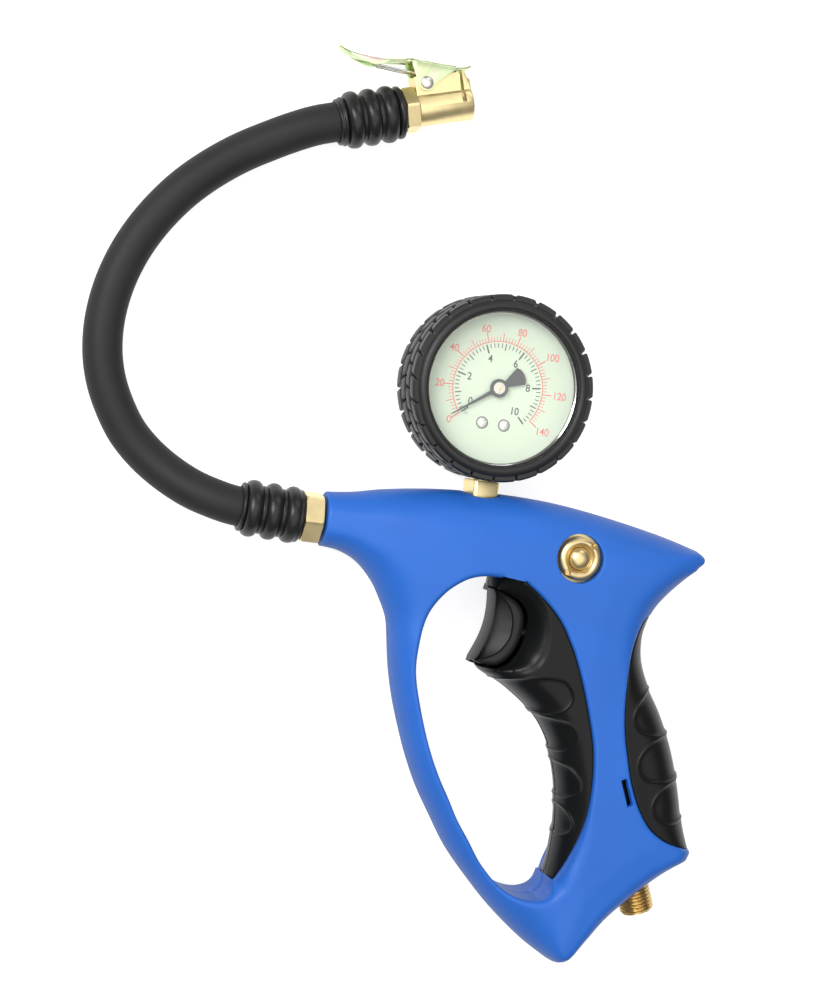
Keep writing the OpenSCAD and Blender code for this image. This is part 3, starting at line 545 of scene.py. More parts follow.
HOSE = [[-65.1, 0.8, 0], [-77, 1.1, 0], [-89.2, 1.5, -0.1], [-98.5, 3.3, -1.5], [-107, 6, -3.9], [-116, 10.6, -6.6],
        [-124, 16.2, -8.6], [-131, 23, -9.5], [-136.4, 31, -9.6], [-140.6, 39.6, -9.6], [-143.2, 48.6, -9.6],
        [-144.2, 58, -9.6], [-143.8, 67, -9.6], [-142.2, 76, -9.6], [-139.6, 84.4, -9.6], [-136.2, 92.2, -9.6],
        [-132, 99.6, -9.6], [-127.2, 106.5, -9.6], [-121.8, 113, -9.6], [-115.7, 119, -9.6], [-109, 124.6, -9.4],
        [-102, 129.6, -9], [-94, 134.4, -8.2], [-86, 138.8, -7.2], [-78, 142.6, -6.5], [-70.5, 145.9, -6.3]]
HOSE[-1] = (CH_C - 0.7 * CH_V).tolist()
HOSE += [(CH_C + CH_U * u - 0.5 * CH_V).tolist() for u in (13, 25.8)]
hose_line = curve(HOSE, 5)
hv, hf = tube(hose_line, 7.25, 40)
hose = piece("hose_rubber_tube", hv, hf, M_hose, rep=("hose",), sharp=60)


def sleeve_profile(length, ribs, collar):
    """Outer radius of a ribbed sleeve along its length: large round ribs at the given places,
    a flat small ridge in each valley, a lip at each end."""
    prof = []
    n = int(length * 6)
    for i in range(n + 1):
        t = length * i / n
        r = 7.95
        for c in ribs:
            x = abs(t - c) / 2.85
            if x < 1:
                r = max(r, 7.95 + 2.5 * math.sqrt(1 - x ** 2.3))
        for c0, c1 in zip(ribs, ribs[1:]):
            x = abs(t - (c0 + c1) / 2) / 1.05
            if x < 1:
                r = max(r, 8.0 + 0.85 * (1 - x ** 4))
        if collar and t < collar + 1.0:
            x = abs(t - (collar + 1.0) / 2) / ((collar + 1.0) / 2)
            r = max(r, 7.95 + 0.55 * (1 - x ** 6))
        x = abs(t - (collar + 0.9)) / 0.75
        if x < 1:
            r = max(r, 8.1 + 0.9 * math.sqrt(1 - x * x))
        x = abs(t - (length - 1.3)) / 1.25
        if x < 1:
            r = max(r, 8.0 + 1.7 * math.sqrt(1 - x ** 3))
        prof.append((min(r, 10.5), t))
    return prof


def sleeve(name, length, ribs, collar, place, rep):
    prof = sleeve_profile(length, ribs, collar)

    def rad(r, z, a):
        # the ribs are slightly flattened where the mould halves meet
        q = max(r - 7.9, 0) / 2.5
        return r + q * (0.09 * math.cos(4 * a + 0.6) - 0.09) + 0.04 * q * math.cos(9 * a + z)
    V, F = lathe([(7.3, 0.3), (7.6, 0.02)] + prof[1:-1] + [(7.6, length - 0.02), (7.3, length - 0.3)], 88, closed=True, rad=rad)
    return piece(name, place(V), F, M_sleeve, rep=rep, sharp=48, recalc=True)


TILT = math.radians(-2.3)
rear_sleeve = sleeve("sleeve_rear_ribbed", 23.2, (4.6, 12.0, 19.3), 0.0,
                     lambda V: put(V, (-88.4, 1.5, 0), (math.sin(-TILT), math.cos(TILT), 0), (0, 0, 1), (math.cos(TILT), math.sin(TILT), 0)),
                     ("hose_sleeve_rear",))
front_sleeve = sleeve("sleeve_front_ribbed", 24.9, (6.0, 12.6, 19.3), 1.2,
                      lambda V: chuck_turned(V) - (0.95 - 0.022 * V[:, 2:3]) * CH_V, ("hose_sleeve_front",))


def hex_nut(R, h, hole, turn, chamfer=0.55, n=96):
    """Hexagon bar with turned chamfers at both ends and a small turned face."""
    def hexr(a):
        b = (a - turn) % (math.pi / 3) - math.pi / 6
        return R * math.cos(math.pi / 6) / math.cos(b)

    def rad(r, z, a):
        if r > 50:
            lim = (R * 0.93) + min(z, h - z) * (R * 0.07 / chamfer) * 1.2
            return min(hexr(a) - (0.12 if min(z, h - z) < 0.05 else 0), lim)
        return r
    zs = [0, 0.12, 0.3, 0.55, 0.85, h / 2, h - 0.85, h - 0.55, h - 0.3, h - 0.12, h]
    prof = [(hole, 0)] + [(100, z) for z in zs] + [(hole, h)]
    return lathe(prof, n, closed=True, rad=rad)


V, F = hex_nut(9.8, 6.9, 6.9, math.radians(8 + 90), 0.55)
rear_nut = piece("hose_hex_nut", put(V, (-65, 0.8, 0), (0, 1, 0), (0, 0, 1), (1, 0, 0)), F, M_brass,
                 rep=("hose_nut",), sharp=24, recalc=True)
V, F = hex_nut(8.7, 4.9, 3.0, math.radians(10), 0.5)
front_nut = piece("chuck_hex_nut", chuck_turned(V + np.array([0, 0, 25.3])), F, M_brass, rep=("chuck_nut",), sharp=24, recalc=True)


def chuck_body():
    # a round body with a flat-sided block on top
    cyl_prof = [(0, 0), (5.9, 0), (6.3, 0.15), (6.6, 0.6), (6.6, 20.5), (6.35, 21.0), (5.9, 21.2), (0, 21.2)]
    V, F = lathe(cyl_prof, 96)
    body = piece("chuck_body_turned", chuck_turned(V + np.array([0, 0, 30.2])), F, M_brass, sharp=30, recalc=True)
    V, F = prism([(30.4, 0), (51.2, 0), (51.2, 8.0), (50.3, 8.8), (49.6, 11.2), (30.4, 11.4)], -4.9, 4.9)
    block = piece("chuck_block_tool", chuck(V), F, M_brass, body=None, recalc=True)
    bevel(block, 0.35, 2)
    cut_with(body, block, "UNION")
    V, F = prism([(46.9, -0.1), (48.6, -0.1), (48.6, 14), (46.9, 14)], -9, 9)
    cut_with(body, piece("tool_slit", chuck(V), F, M_brass, body=None, recalc=True))
    V, F = lathe([(0, 36.8), (3.4, 36.8), (3.4, 41), (4.0, 41), (4.0, 50.6), (4.5, 51.5), (4.5, 53), (0, 53)], 64)
    cut_with(body, piece("tool_mouth", chuck_turned(V), F, M_brass, body=None, recalc=True))
    V, F = lathe([(0, -9), (1.55, -9), (1.55, 9), (0, 9)], 32)
    cut_with(body, piece("tool_rivet", chuck(V + np.array([34.5, 8.6, 0])), F, M_brass, body=None, recalc=True))
    bevel(body, 0.16, 2, 40, 30)
    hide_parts("chuck_body")
    return body


chuck_brass = chuck_body()


def lever():
    line = curve([[5.9, 26.9], [7.1, 25.5], [9.1, 24.0], [11.8, 22.7], [16, 21.1], [21, 19.7], [26, 18.8], [30.2, 18.3]], 5)
    line2 = curve([[30.2, 18.3], [36, 16.5], [42, 14.6], [47.4, 13.2], [50.5, 12.8], [53, 13.2]], 5)
    L = np.vstack([line[:-1], line2])
    m = len(L)
    T = np.gradient(L, axis=0)
    T /= np.linalg.norm(T, axis=1)[:, None]
    N = np.stack([-T[:, 1], T[:, 0]], 1)
    # half width, flange depth and cup of the cross-section along the lever
    hw = np.interp(L[:, 0], [5.9, 6.5, 8.2, 11, 15, 29.2, 30.4, 46.4, 47.4, 50.5, 53], [1.3, 2.4, 3.5, 4.5, 5.1, 5.2, 6.25, 6.25, 4.0, 3.2, 2.4])
    fl = np.interp(L[:, 0], [5, 7, 9, 13, 17, 20, 22.5, 26, 29, 30.4, 60], [0.0, 0.6, 1.1, 2.2, 3.0, 2.5, 1.1, 0.7, 1.2, 1.3, 0.0])
    cup = np.interp(L[:, 0], [5, 8, 14, 22, 28, 60], [0.4, 1.0, 1.1, 0.7, 0.0, 0.0])
    t = 0.85
    nz = 14
    top, bot = [], []
    V = []
    for i in range(m):
        row_o, row_i = [], []
        f = fl[i]
        r = min(1.1, hw[i] * 0.4)
        # outer line of the section, from one flange's foot over the top to the other's
        pts = []
        if f > 0.2:
            pts += [(-1, hw[i], -f - 0.0)]
        angs = np.linspace(0, math.pi / 2, 4)
        for sgn in (1, -1):
            arc = [(hw[i] - r + r * math.cos(a), -r + r * math.sin(a)) for a in angs]
            if sgn == 1:
                side = [(hw[i], -max(f, r))] + arc
            else:
                side = [(-x, y) for x, y in reversed(arc)] + [(-hw[i], -max(f, r))]
            pts = side if sgn == 1 else pts + [(x, 0) for x in np.linspace(hw[i] - r, -(hw[i] - r), 7)[1:-1]] + side
        o = np.array(pts)
        o[:, 1] -= cup[i] * (1 - (o[:, 0] / max(hw[i], 1e-6)) ** 2)
        tz = np.gradient(o, axis=0)
        tz /= np.maximum(np.linalg.norm(tz, axis=1)[:, None], 1e-9)
        nn = np.stack([-tz[:, 1], tz[:, 0]], 1)
        inn = o + nn * t
        V.append(np.vstack([o, inn[::-1]]))
    k = len(V[0])
    P, F = [], []
    for i in range(m):
        for z, d in V[i]:
            q = L[i] + N[i] * d
            P.append((q[0], q[1], z))
    for i in range(m - 1):
        for j in range(k):
            l = (j + 1) % k
            F.append((i * k + j, i * k + l, (i + 1) * k + l, (i + 1) * k + j))
    F.append(tuple(range(k)))
    F.append(tuple(range((m - 1) * k, m * k))[::-1])
    strap = (np.array(P), F)
    parts = [strap]
    cheek = curve([[30.5, 17.3], [36, 15.6], [42, 13.7], [46.6, 12.35]], 3).tolist() + \
        [[46.9, 12.1], [43.4, 10.7], [40, 9.1], [37.2, 7.3]] + \
        [[34.5 + 2.9 * math.cos(a), 8.6 + 2.9 * math.sin(a)] for a in np.radians(np.arange(-35, -190, -14))] + [[30.9, 12.0], [30.2, 16.0]]
    for z0, z1 in ((5.3, 6.22), (-6.22, -5.3)):
        V2, F2 = prism(cheek, z0, z1)
        parts.append((V2, F2))
    claw = [(47.1, 4.5), (47.5, 4.3), (48, 4.4), (48, 13.0), (47.1, 13.2)]
    parts.append(prism(claw, -3, 3))
    V, F = join_meshes(parts)
    ob = piece("clip_lever_sheet", chuck(V), F, M_plated, body="clip_lever", sharp=30, recalc=True)
    bevel(ob, 0.16, 2, 50, 30)
    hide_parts("clip_lever")
    return ob


lever_ob = lever()
prof = [(0, -7.35), (1.1, -7.3), (2.0, -7.0), (2.4, -6.55), (2.45, -6.42), (1.5, -6.42), (1.5, 6.42), (2.45, 6.42), (2.4, 6.55), (2.0, 7.0), (1.1, 7.3), (0, 7.35)]
V, F = lathe(prof, 40)
rivet = piece("clip_rivet_domed", chuck(V + np.array([34.5, 8.6, 0])), F, M_pale, rep=("clip_rivet",), recalc=True)
sp = curve([[18.5, 18.4], [18.8, 17.3], [21.3, 16.5], [26, 14.8], [31.7, 13.0], [36, 12.4], [38.5, 12.4]], 4)
parts = []
for z in (2.6, -2.6):
    parts.append(tube(chuck(np.column_stack([sp, np.full(len(sp), z)])), 0.42, 10))
parts.append(tube(chuck(np.array([[18.5, 18.4, 2.9], [18.5, 18.4, 0], [18.5, 18.4, -2.9]])), 0.42, 10, twist_ref=(1, 0, 0)))
V, F = join_meshes(parts)
spring = piece("clip_spring_wire", V, F, M_spring, body="clip_lever", rep=("clip_spring",), recalc=True)

# ------------------------------------------------------------------ covers and grips
H = 17.0
run_top = [[-57, 10.8, 10.3, 10.4], [-47, 12, 12, 12], [-36, 14.3, 14, 14], [-22, 16.3, 16, 16], [-8, 17.5, 17, H],
           [10, 18, 17, H], [26, 17.5, 17, H], [40, 16.1, 17, H], [55, 13.8, 17, H], [70, 11, 16, H], [80, 8.7, 13, H], [88.3, 6.4, 6, H]]
run_tail = [[88.3, 6.4, 5, 13], [90.6, 5.1, 4, 13], [91.6, 3.2, 4, 13], [91, 1.1, 4, 13], [89.4, -0.9, 5, 13]]
run_under = [[89.4, -0.9, 6, H], [84.6, -6, 12, H], [79.1, -12, 14, H], [74.7, -18, 14, H], [72.4, -24, 14, H], [71.6, -30, 14, H],
             [72.8, -38, 14, H], [77, -47, 14, H], [82.8, -56, 14, H], [88, -66, 14, H], [92, -76, 14, H], [95.4, -87, 14, H],
             [98, -97, 14, H], [100.5, -105, 9, H], [101.8, -108.3, 5, H]]
run_lip = [[101.8, -108.3, 4, H], [101.8, -110.1, 3.5, H], [99.8, -112.1, 4, H]]
run_foot = [[99.8, -112.1, 5, H], [90, -119.8, 9, H], [80, -128.7, 9, H], [72, -136.7, 9, H], [66, -143.8, 7, H], [60.3, -150.8, 5, H]]
run_tip = [[60.3, -150.8, 5, H], [58.2, -153.3, 5, H], [55.6, -154.9, 5, H], [52.8, -155.1, 5, H], [50, -153.8, 6, H]]
run_guard = [[50, -153.8, 6, H], [40, -147.5, 17, 16], [27, -137.2, 14, 15], [16, -126.5, 11, 14], [6.5, -116, 10, 14],
             [-1, -105, 10, 14], [-8, -94, 10, 14], [-13.5, -83, 10, 14], [-17.8, -72.5, 10, 14], [-21.7, -61.5, 10, 14],
             [-24.6, -50.5, 10, 14], [-26.6, -39.5, 10, 14], [-28.1, -33, 13, 14.3], [-31.1, -27, 17, 15], [-35.7, -19.8, 17, 15],
             [-42.3, -13.5, 14, 14], [-49.5, -10.2, 12, 12], [-57, -9.2, 10, 10.4]]
run_grip = [[46.6, -122.8, 10, H], [47.7, -115, 13, H], [47.9, -104, 14, H], [46.7, -92, 14, H], [44.2, -82, 14, H],
            [40.1, -71.7, 14, H], [32.8, -62.3, 13, H], [20.3, -53.2, 12, H], [10, -48, 10, 16], [8.5, -44, 10, 16],
            [8.5, -30, 10, 16], [9, -18, 10, 16], [9.5, -11, 10, 16]]
guard_pts = [[9.5, -12], [3, -12.2], [-3, -14], [-8.5, -18], [-12.5, -22.8], [-15.3, -28], [-16.8, -34], [-17.4, -42],
             [-17.2, -49], [-16, -55], [-14.2, -61], [-12, -67.5], [-9.2, -74.8], [-6, -82], [-2.3, -89], [2, -96],
             [6.4, -103.4], [11.5, -110.4], [16.6, -117.6], [20.8, -122.2], [25.2, -126.2], [30, -129.1], [35, -130.7],
             [40, -131], [44, -129.8], [46.5, -127], [46.6, -122.8]]
strip_front = [[19, -12.4], [25, -16.6], [31, -21.7], [35.6, -26.9], [39, -32.4], [42, -37.8], [46.5, -48.3], [50.4, -59],
               [53.8, -70.3], [55.5, -81.5], [55.8, -92.9], [55, -101], [53.3, -108.5], [50.6, -117], [48, -123.3]]
strip_rear = [[74.8, -21.5], [71.2, -20.3], [68.4, -22], [65.6, -29.3], [64.2, -36], [63.8, -44], [64, -53], [65.2, -63.5],
              [68, -74.6], [71, -84], [75, -92.3], [80, -99], [86, -103.3], [93, -105.6], [103, -107.4]]
side_x = [-57, -50, -40, -28, -14, 0, 64, 76, 86, 95]
side_h = [10.3, 11.2, 12.8, 14.8, 16.4, 17, 17, 15, 12, 8.6]

STEP = 8
c_top, c_tail, c_under = curve(run_top, STEP), curve(run_tail, STEP), curve(run_under, STEP)
c_lip, c_foot, c_tip, c_guard = curve(run_lip, STEP), curve(run_foot, STEP), curve(run_tip, STEP), curve(run_guard, STEP)
c_grip = curve(run_grip, STEP)
guard_in = curve(guard_pts, 5)
s_front = curve(strip_front, 5)
s_rear = curve(strip_rear, 5)
GROUPS = [np.vstack([c_top, c_tail[1:]]), c_under, np.vstack([c_lip, c_foot[1:], c_tip[1:]]), c_guard, c_grip]
ENDS = [((102.6, -107.9), (-6.8, -18.8), 10.0), ((57.0, -155.4), (-26.0, -1.4), 6.0)]
outline = np.vstack([c_top[:-1], c_tail[:-1], c_under[:-1], c_lip[:-1], c_foot[:-1], c_tip[:-1], c_guard])[:, :2]


def edge_form(d, R, Hh):
    f = np.clip(d / R, 0, 1)
    return Hh * np.sqrt(np.maximum(1 - (1 - f) ** 2, 0)) + 0.15 * np.maximum(d - 0.7 * R, 0) ** 2 / R


def surface(q, drop=0.0, grip_edge=True):
    """Height of the body's left side above the parting plane."""
    k = 1.7
    z = None
    for i, g in enumerate(GROUPS):
        if i == 4 and not grip_edge:
            continue
        d, rh = near(q, g)
        e = edge_form(d, rh[:, 0], rh[:, 1] - drop)
        kk = k if z is None else k * np.clip(np.minimum(z, e) / 7, 0, 1)
        z = e if z is None else smin(z, e, kk)
    for (p, t, R) in ENDS:
        t = unit(t)
        d = (q[:, 0] - p[0]) * t[1] - (q[:, 1] - p[1]) * t[0]
        e = edge_form(np.maximum(d, 0.02), R, H - drop)
        z = smin(z, e, k * np.clip(np.minimum(z, e) / 7, 0, 1))
    xs = np.array(side_x, float)
    hs = np.array(side_h, float)
    fine_x = np.linspace(-57, 95, 305)
    fine_h = np.interp(fine_x, xs, hs)
    ker = np.hanning(29)
    ker /= ker.sum()
    fine_h = np.convolve(np.pad(fine_h, 14, mode="edge"), ker, mode="valid")
    cap = np.interp(q[:, 0], fine_x, fine_h)
    cap = np.where(q[:, 1] > -30, cap, np.where(q[:, 1] > -45, cap + (H - cap) * (-30 - q[:, 1]) / 15, H))
    cap = cap + 0.35 - drop
    return smin(z, cap, k * np.clip(np.minimum(z, cap) / 7, 0, 1))


def fillet(d, r):
    return np.where(d < r, r - np.sqrt(np.maximum(r * r - (r - np.clip(d, 0, r)) ** 2, 0)), 0.0)


RING_EDGE = [0.03, 0.12, 0.3, 0.6, 1.0, 1.5, 2.1, 2.9, 3.9]
RING_R2 = [0.04, 0.16, 0.4, 0.75, 1.15, 1.6, 2.0, 2.5]
RING_R1 = [0.03, 0.12, 0.3, 0.55, 0.85, 1.2, 1.6]
RING_R05 = [0.04, 0.15, 0.32, 0.55, 0.85]


def offset_points(line, closed, offs, step):
    p = respace(line, step, closed)
    t = (np.roll(p, -1, 0) - np.roll(p, 1, 0)) if closed else np.gradient(p, axis=0)
    t /= np.maximum(np.linalg.norm(t, axis=1)[:, None], 1e-9)
    n = np.stack([-t[:, 1], t[:, 0]], 1)
    out = []
    for i, o in enumerate(offs):
        w = p + 0.5 * (np.roll(p, -1, 0) - p) if (i % 2 and not closed) else p
        out += [(p + n * o, o), (p - n * o, o)]
    return out


def shell(edges, keep, height, step=1.3, wall=None, disp=None, guides=()):
    """Thin-walled half shell over a region of the plane.

    edges: list of dicts with line (points), closed, kind, rings, step. keep(q) says which
    points belong to the region. height(q) gives the outer surface. The walls at the region's
    border depend on the nearest edge's kind: seam, loop, window, hole or recess.
    """
    lines = []
    cv, ce = [], []
    for e in edges:
        p = respace(e["line"], e.get("step", 1.0), e["closed"])
        e["pts"] = p
        o = len(cv)
        cv += p.tolist()
        n = len(p)
        ce += [(o + i, o + (i + 1) % n) for i in range(n if e["closed"] else n - 1)]
    free = []
    for i, e in enumerate(edges):
        for pts, o in offset_points(e["pts"], e["closed"], e["rings"], e.get("step", 1.0)):
            ok = keep(pts)
            pts = pts[ok]
            if not len(pts):
                continue
            own, _ = near(pts, e["pts"], e["closed"])
            ok = own > 0.86 * o
            for j, g in enumerate(edges):
                if j != i:
                    dj, _ = near(pts, g["pts"], g["closed"])
                    ok &= dj > max(o * 1.05, 0.25)
            free.append(pts[ok])
    for line, closed, offs, gs in guides:
        for pts, o in offset_points(line, closed, offs, gs):
            ok = keep(pts)
            for g in edges:
                ok &= near(pts, g["pts"], g["closed"])[0] > 0.3
            free.append(pts[ok])
    allp = np.array(cv)
    lo, hi = allp.min(0), allp.max(0)
    gx, gy = np.meshgrid(np.arange(lo[0], hi[0], step), np.arange(lo[1], hi[1], step * 0.866))
    gx[1::2] += step / 2
    grid = np.column_stack([gx.ravel(), gy.ravel()])
    grid = grid[keep(grid)]
    for e in edges:
        d, _ = near(grid, e["pts"], e["closed"])
        grid = grid[d > e["rings"][-1] + 0.45 * step]
    for line, closed, offs, gs in guides:
        grid = grid[near(grid, line, closed)[0] > offs[-1] + 0.4 * step]
    free.append(grid)
    pts = np.vstack([allp] + free)
    V2, E2, F2 = delaunay_2d_cdt([Vector(p) for p in pts.tolist()], ce, [], 0, 1e-6)[:3]
    q = np.array([tuple(v) for v in V2])
    f = np.array([t for t in F2 if len(t) == 3])
    cen = q[f].mean(1)
    f = f[keep(cen)]
    a, b, c = q[f[:, 0]], q[f[:, 1]], q[f[:, 2]]
    area = (b[:, 0] - a[:, 0]) * (c[:, 1] - a[:, 1]) - (b[:, 1] - a[:, 1]) * (c[:, 0] - a[:, 0])
    f = f[np.abs(area) > 1e-7]
    area = area[np.abs(area) > 1e-7]
    f[area < 0] = f[area < 0][:, ::-1]
    used = np.unique(f)
    re = -np.ones(len(q), int)
    re[used] = np.arange(len(used))
    q, f = q[used], re[f]
    z = height(q)
    top = np.column_stack([q, z])
    # border, walked with the region on its left
    dirs = {}
    for t in f:
        for i in range(3):
            dirs[(t[i], t[(i + 1) % 3])] = True
    border = [e for e in dirs if (e[1], e[0]) not in dirs]
    mid = np.array([(q[a] + q[b]) / 2 for a, b in border])
    dist = np.stack([near(mid, e["pts"], e["closed"])[0] for e in edges])
    kind = [edges[i]["kind"] for i in dist.argmin(0)]
    nin = {}
    for (a, b), k in zip(border, kind):
        t = q[b] - q[a]
        t = t / max(np.linalg.norm(t), 1e-9)
        n = np.array([-t[1], t[0]])
        for v in (a, b):
            nin[v] = nin.get(v, np.zeros(2)) + n
    if disp is not None:
        e1, e2 = top[f[:, 1]] - top[f[:, 0]], top[f[:, 2]] - top[f[:, 0]]
        fn = np.cross(e1, e2)
        vn = np.zeros_like(top)
        for i in range(3):
            np.add.at(vn, f[:, i], fn)
        for v, n in nin.items():
            if z[v] < 0.6:
                vn[v, :2] = -n / max(np.linalg.norm(n), 1e-9) * 1e3
                vn[v, 2] = 0
        vn /= np.maximum(np.linalg.norm(vn, axis=1)[:, None], 1e-12)
        top = top + vn * disp(q, z)[:, None]
    # inner surface
    dw = np.full(len(q), 99.0)
    for e in edges:
        if e["kind"] in ("seam", "loop", "recess"):
            dw = np.minimum(dw, near(q, e["pts"], e["closed"])[0])
    wz = np.maximum(top[:, 2] - (wall or 3.0), 0) * smooth01((dw - 2.2) / 1.6)
    bot = np.column_stack([q, wz])
    n = len(q)
    V = [top, bot]
    F = [tuple(t) for t in f] + [tuple(int(i) + n for i in t[::-1]) for t in f]
    extra = []
    base = 2 * n
    col = {}

    def column(v, k):
        key = (v, k)
        if key in col:
            return col[key]
        w = nin[v] / max(np.linalg.norm(nin[v]), 1e-9)
        p = top[v]
        mids = []
        if k == "seam":
            bot[v] = [q[v][0] + w[0] * 0.28, q[v][1] + w[1] * 0.28, 0]
        elif k == "loop":
            zs = p[2]
            for g in (0.75, 0.5, 0.25):
                mids.append([p[0], p[1], 0.3 + (zs - 0.3) * g])
            mids.append([p[0], p[1], 0.3])
            bot[v] = [p[0] + w[0] * 0.28, p[1] + w[1] * 0.28, 0]
        elif k == "recess":
            for g in (0.33, 0.66, 1.0):
                mids.append([p[0], p[1] + (12.6 - p[1]) * g, p[2]])
            bot[v] = [p[0], 12.3, max(p[2] - 0.6, 0)]
        else:
            bot[v] = [p[0], p[1], wz[v]]
        ids = [v]
        for m in mids:
            ids.append(base + len(extra))
            extra.append(m)
        ids.append(v + n)
        col[key] = ids
        return ids
    for (a, b), k in zip(border, kind):
        A, B = column(a, k), column(b, k)
        for i in range(max(len(A), len(B)) - 1):
            i0, i1 = min(i, len(A) - 2), min(i + 1, len(A) - 1)
            F.append((B[i], A[i], A[i + 1], B[i + 1]))
    V = np.vstack(V + ([np.array(extra)] if extra else []))
    return V, F


def clip_to(line, poly):
    """The part of a line inside a polygon, with its ends just outside."""
    ins = inside(line, poly)
    i = np.where(ins)[0]
    return line[max(i[0] - 1, 0):i[-1] + 2]


sr = clip_to(s_rear, outline)
hole_poly = np.vstack([[9.5, -11.3], guard_in, s_front[::-1]])          # the loop and the front grip together
rear_poly = np.vstack([s_rear, [[110, -107], [110, -21]]])
loop_line = guard_in
front_window = np.vstack([guard_in[-1:], s_front[::-1], [[9.5, -11.3]], [[9.5, -12.0]]])
BLEED = np.array([38.4, -1.5])
bleed_ring = np.array([BLEED + 9.1 * np.array([math.cos(a), math.sin(a)]) for a in np.linspace(0, 2 * math.pi, 73)[:-1]])
ca, sa = math.cos(math.radians(22)), math.sin(math.radians(22))
slot_rect = np.array([[69.2 + x * ca - y * sa, -86.6 + x * sa + y * ca] for x, y in
                      [(-1.15, -5.3), (1.15, -5.3), (1.15, 5.3), (-1.15, 5.3)]])
SCREWS = [(-31, -16), (66, 0), (58, -143), (38.5, -138.6), (58, -119), (92, -110)]


def recess_line(r=7.75, x0=1.4):
    """Where the stem's round recess meets the outer surface, seen from the side."""
    out = []
    for x in np.linspace(-r + 0.02, r - 0.02, 29):
        z = math.sqrt(r * r - x * x)
        lo, hi = 12.8, np.interp(x0 + x, c_top[:, 0], c_top[:, 1])
        for _ in range(26):
            m = (lo + hi) / 2
            if surface(np.array([[x0 + x, m]]), 0, False)[0] > z:
                lo = m
            else:
                hi = m
        out.append([x0 + x, lo])
    return np.array(out)


rec = recess_line()
top_y = np.interp(rec[:, 0], c_top[:, 0], c_top[:, 1])
recess_poly = np.vstack([rec, [[rec[-1, 0], 25], [rec[0, 0], 25]]])
left_of, right_of = c_top[c_top[:, 0] < rec[0, 0]][:, :2], c_top[c_top[:, 0] > rec[-1, 0]][:, :2]
outer_line = np.vstack([[[rec[-1, 0], top_y[-1]]], right_of[:-1], c_tail[:-1, :2], c_under[:-1, :2], c_lip[:-1, :2],
                        c_foot[:-1, :2], c_tip[:-1, :2], c_guard[:, :2]])
nose_line = np.array([[-57, -9.2], [-57, 10.8]])
outer_line2 = np.vstack([left_of, [[rec[0, 0], top_y[0]]]])


# edge rounding of the left cover along the loop and along the front grip
loop_r = np.interp(np.arange(len(guard_in)), [0, len(guard_in) - 21, len(guard_in) - 13, len(guard_in) - 7, len(guard_in) - 1],
                   [2.1, 2.1, 2.6, 4.0, 5.4])
strip_r = np.interp(-s_front[:, 1], [0, 96, 104, 113, 123], [1.3, 1.3, 2.8, 4.4, 5.5])


def in_blue(q):
    return inside(q, outline) & ~inside(q, hole_poly) & ~inside(q, rear_poly) & ~inside(q, recess_poly)


def blue_height(q):
    z = surface(q, 0, False)
    dg, rg = near(q, np.column_stack([guard_in, loop_r]))
    z = z - fillet(dg, rg[:, 0])
    df, rf = near(q, np.column_stack([s_front, strip_r]))
    z = z - fillet(df, rf[:, 0]) - fillet(near(q, sr)[0], 1.3)
    z = z - fillet(near(q, nose_line)[0], 1.0)
    return np.maximum(z, 0.3)


def blue_edges():
    return [
        dict(line=outer_line, closed=False, kind="seam", rings=RING_EDGE, step=0.8),
        dict(line=outer_line2, closed=False, kind="seam", rings=RING_EDGE, step=0.8),
        dict(line=nose_line, closed=False, kind="loop", rings=RING_R1, step=1.0),
        dict(line=guard_in, closed=False, kind="loop", rings=RING_R2, step=1.0),
        dict(line=front_window, closed=False, kind="window", rings=RING_R1, step=1.0),
        dict(line=sr, closed=False, kind="window", rings=RING_R1, step=1.0),
        dict(line=rec, closed=False, kind="recess", rings=RING_R05, step=0.6),
    ]


def left_cover():
    E = blue_edges()
    E.append(dict(line=bleed_ring, closed=True, kind="hole", rings=RING_R05, step=0.8))
    E.append(dict(line=slot_rect, closed=True, kind="hole", rings=[0.05, 0.2, 0.5], step=0.6))

    def keep(q):
        return in_blue(q) & (np.hypot(*(q - BLEED).T) > 9.1) & ~inside(q, slot_rect)

    def hgt(q):
        z = blue_height(q)
        d = np.abs(np.hypot(*(q - BLEED).T) - 9.1)
        z = z - fillet(d, 0.55)
        z = z - fillet(near(q, slot_rect, True)[0], 0.25)
        return z
    V, F = shell(E, keep, hgt, 1.5)
    return piece("cover_left_skin", V, F, M_blue, rep=("cover_left",), sharp=40)


def right_cover():
    E = blue_edges()
    for x, y in SCREWS:
        c = np.array([[x + 3.4 * math.cos(a), y + 3.4 * math.sin(a)] for a in np.linspace(0, 2 * math.pi, 33)[:-1]])
        E.append(dict(line=c, closed=True, kind="loop", rings=RING_R05[:4], step=0.67))

    def keep(q):
        ok = in_blue(q)
        for x, y in SCREWS:
            ok &= np.hypot(q[:, 0] - x, q[:, 1] - y) > 3.4
        return ok

    def hgt(q):
        z = blue_height(q)
        for x, y in SCREWS:
            z = z - fillet(np.abs(np.hypot(q[:, 0] - x, q[:, 1] - y) - 3.4), 0.4)
        return z
    V, F = shell(E, keep, hgt, 1.5)
    V = V * np.array([1, 1, -1.0])
    F = [t[::-1] for t in F]
    return piece("cover_right_skin", V, F, M_blue, rep=("cover_right",), sharp=40)


left_cover()
right_cover()

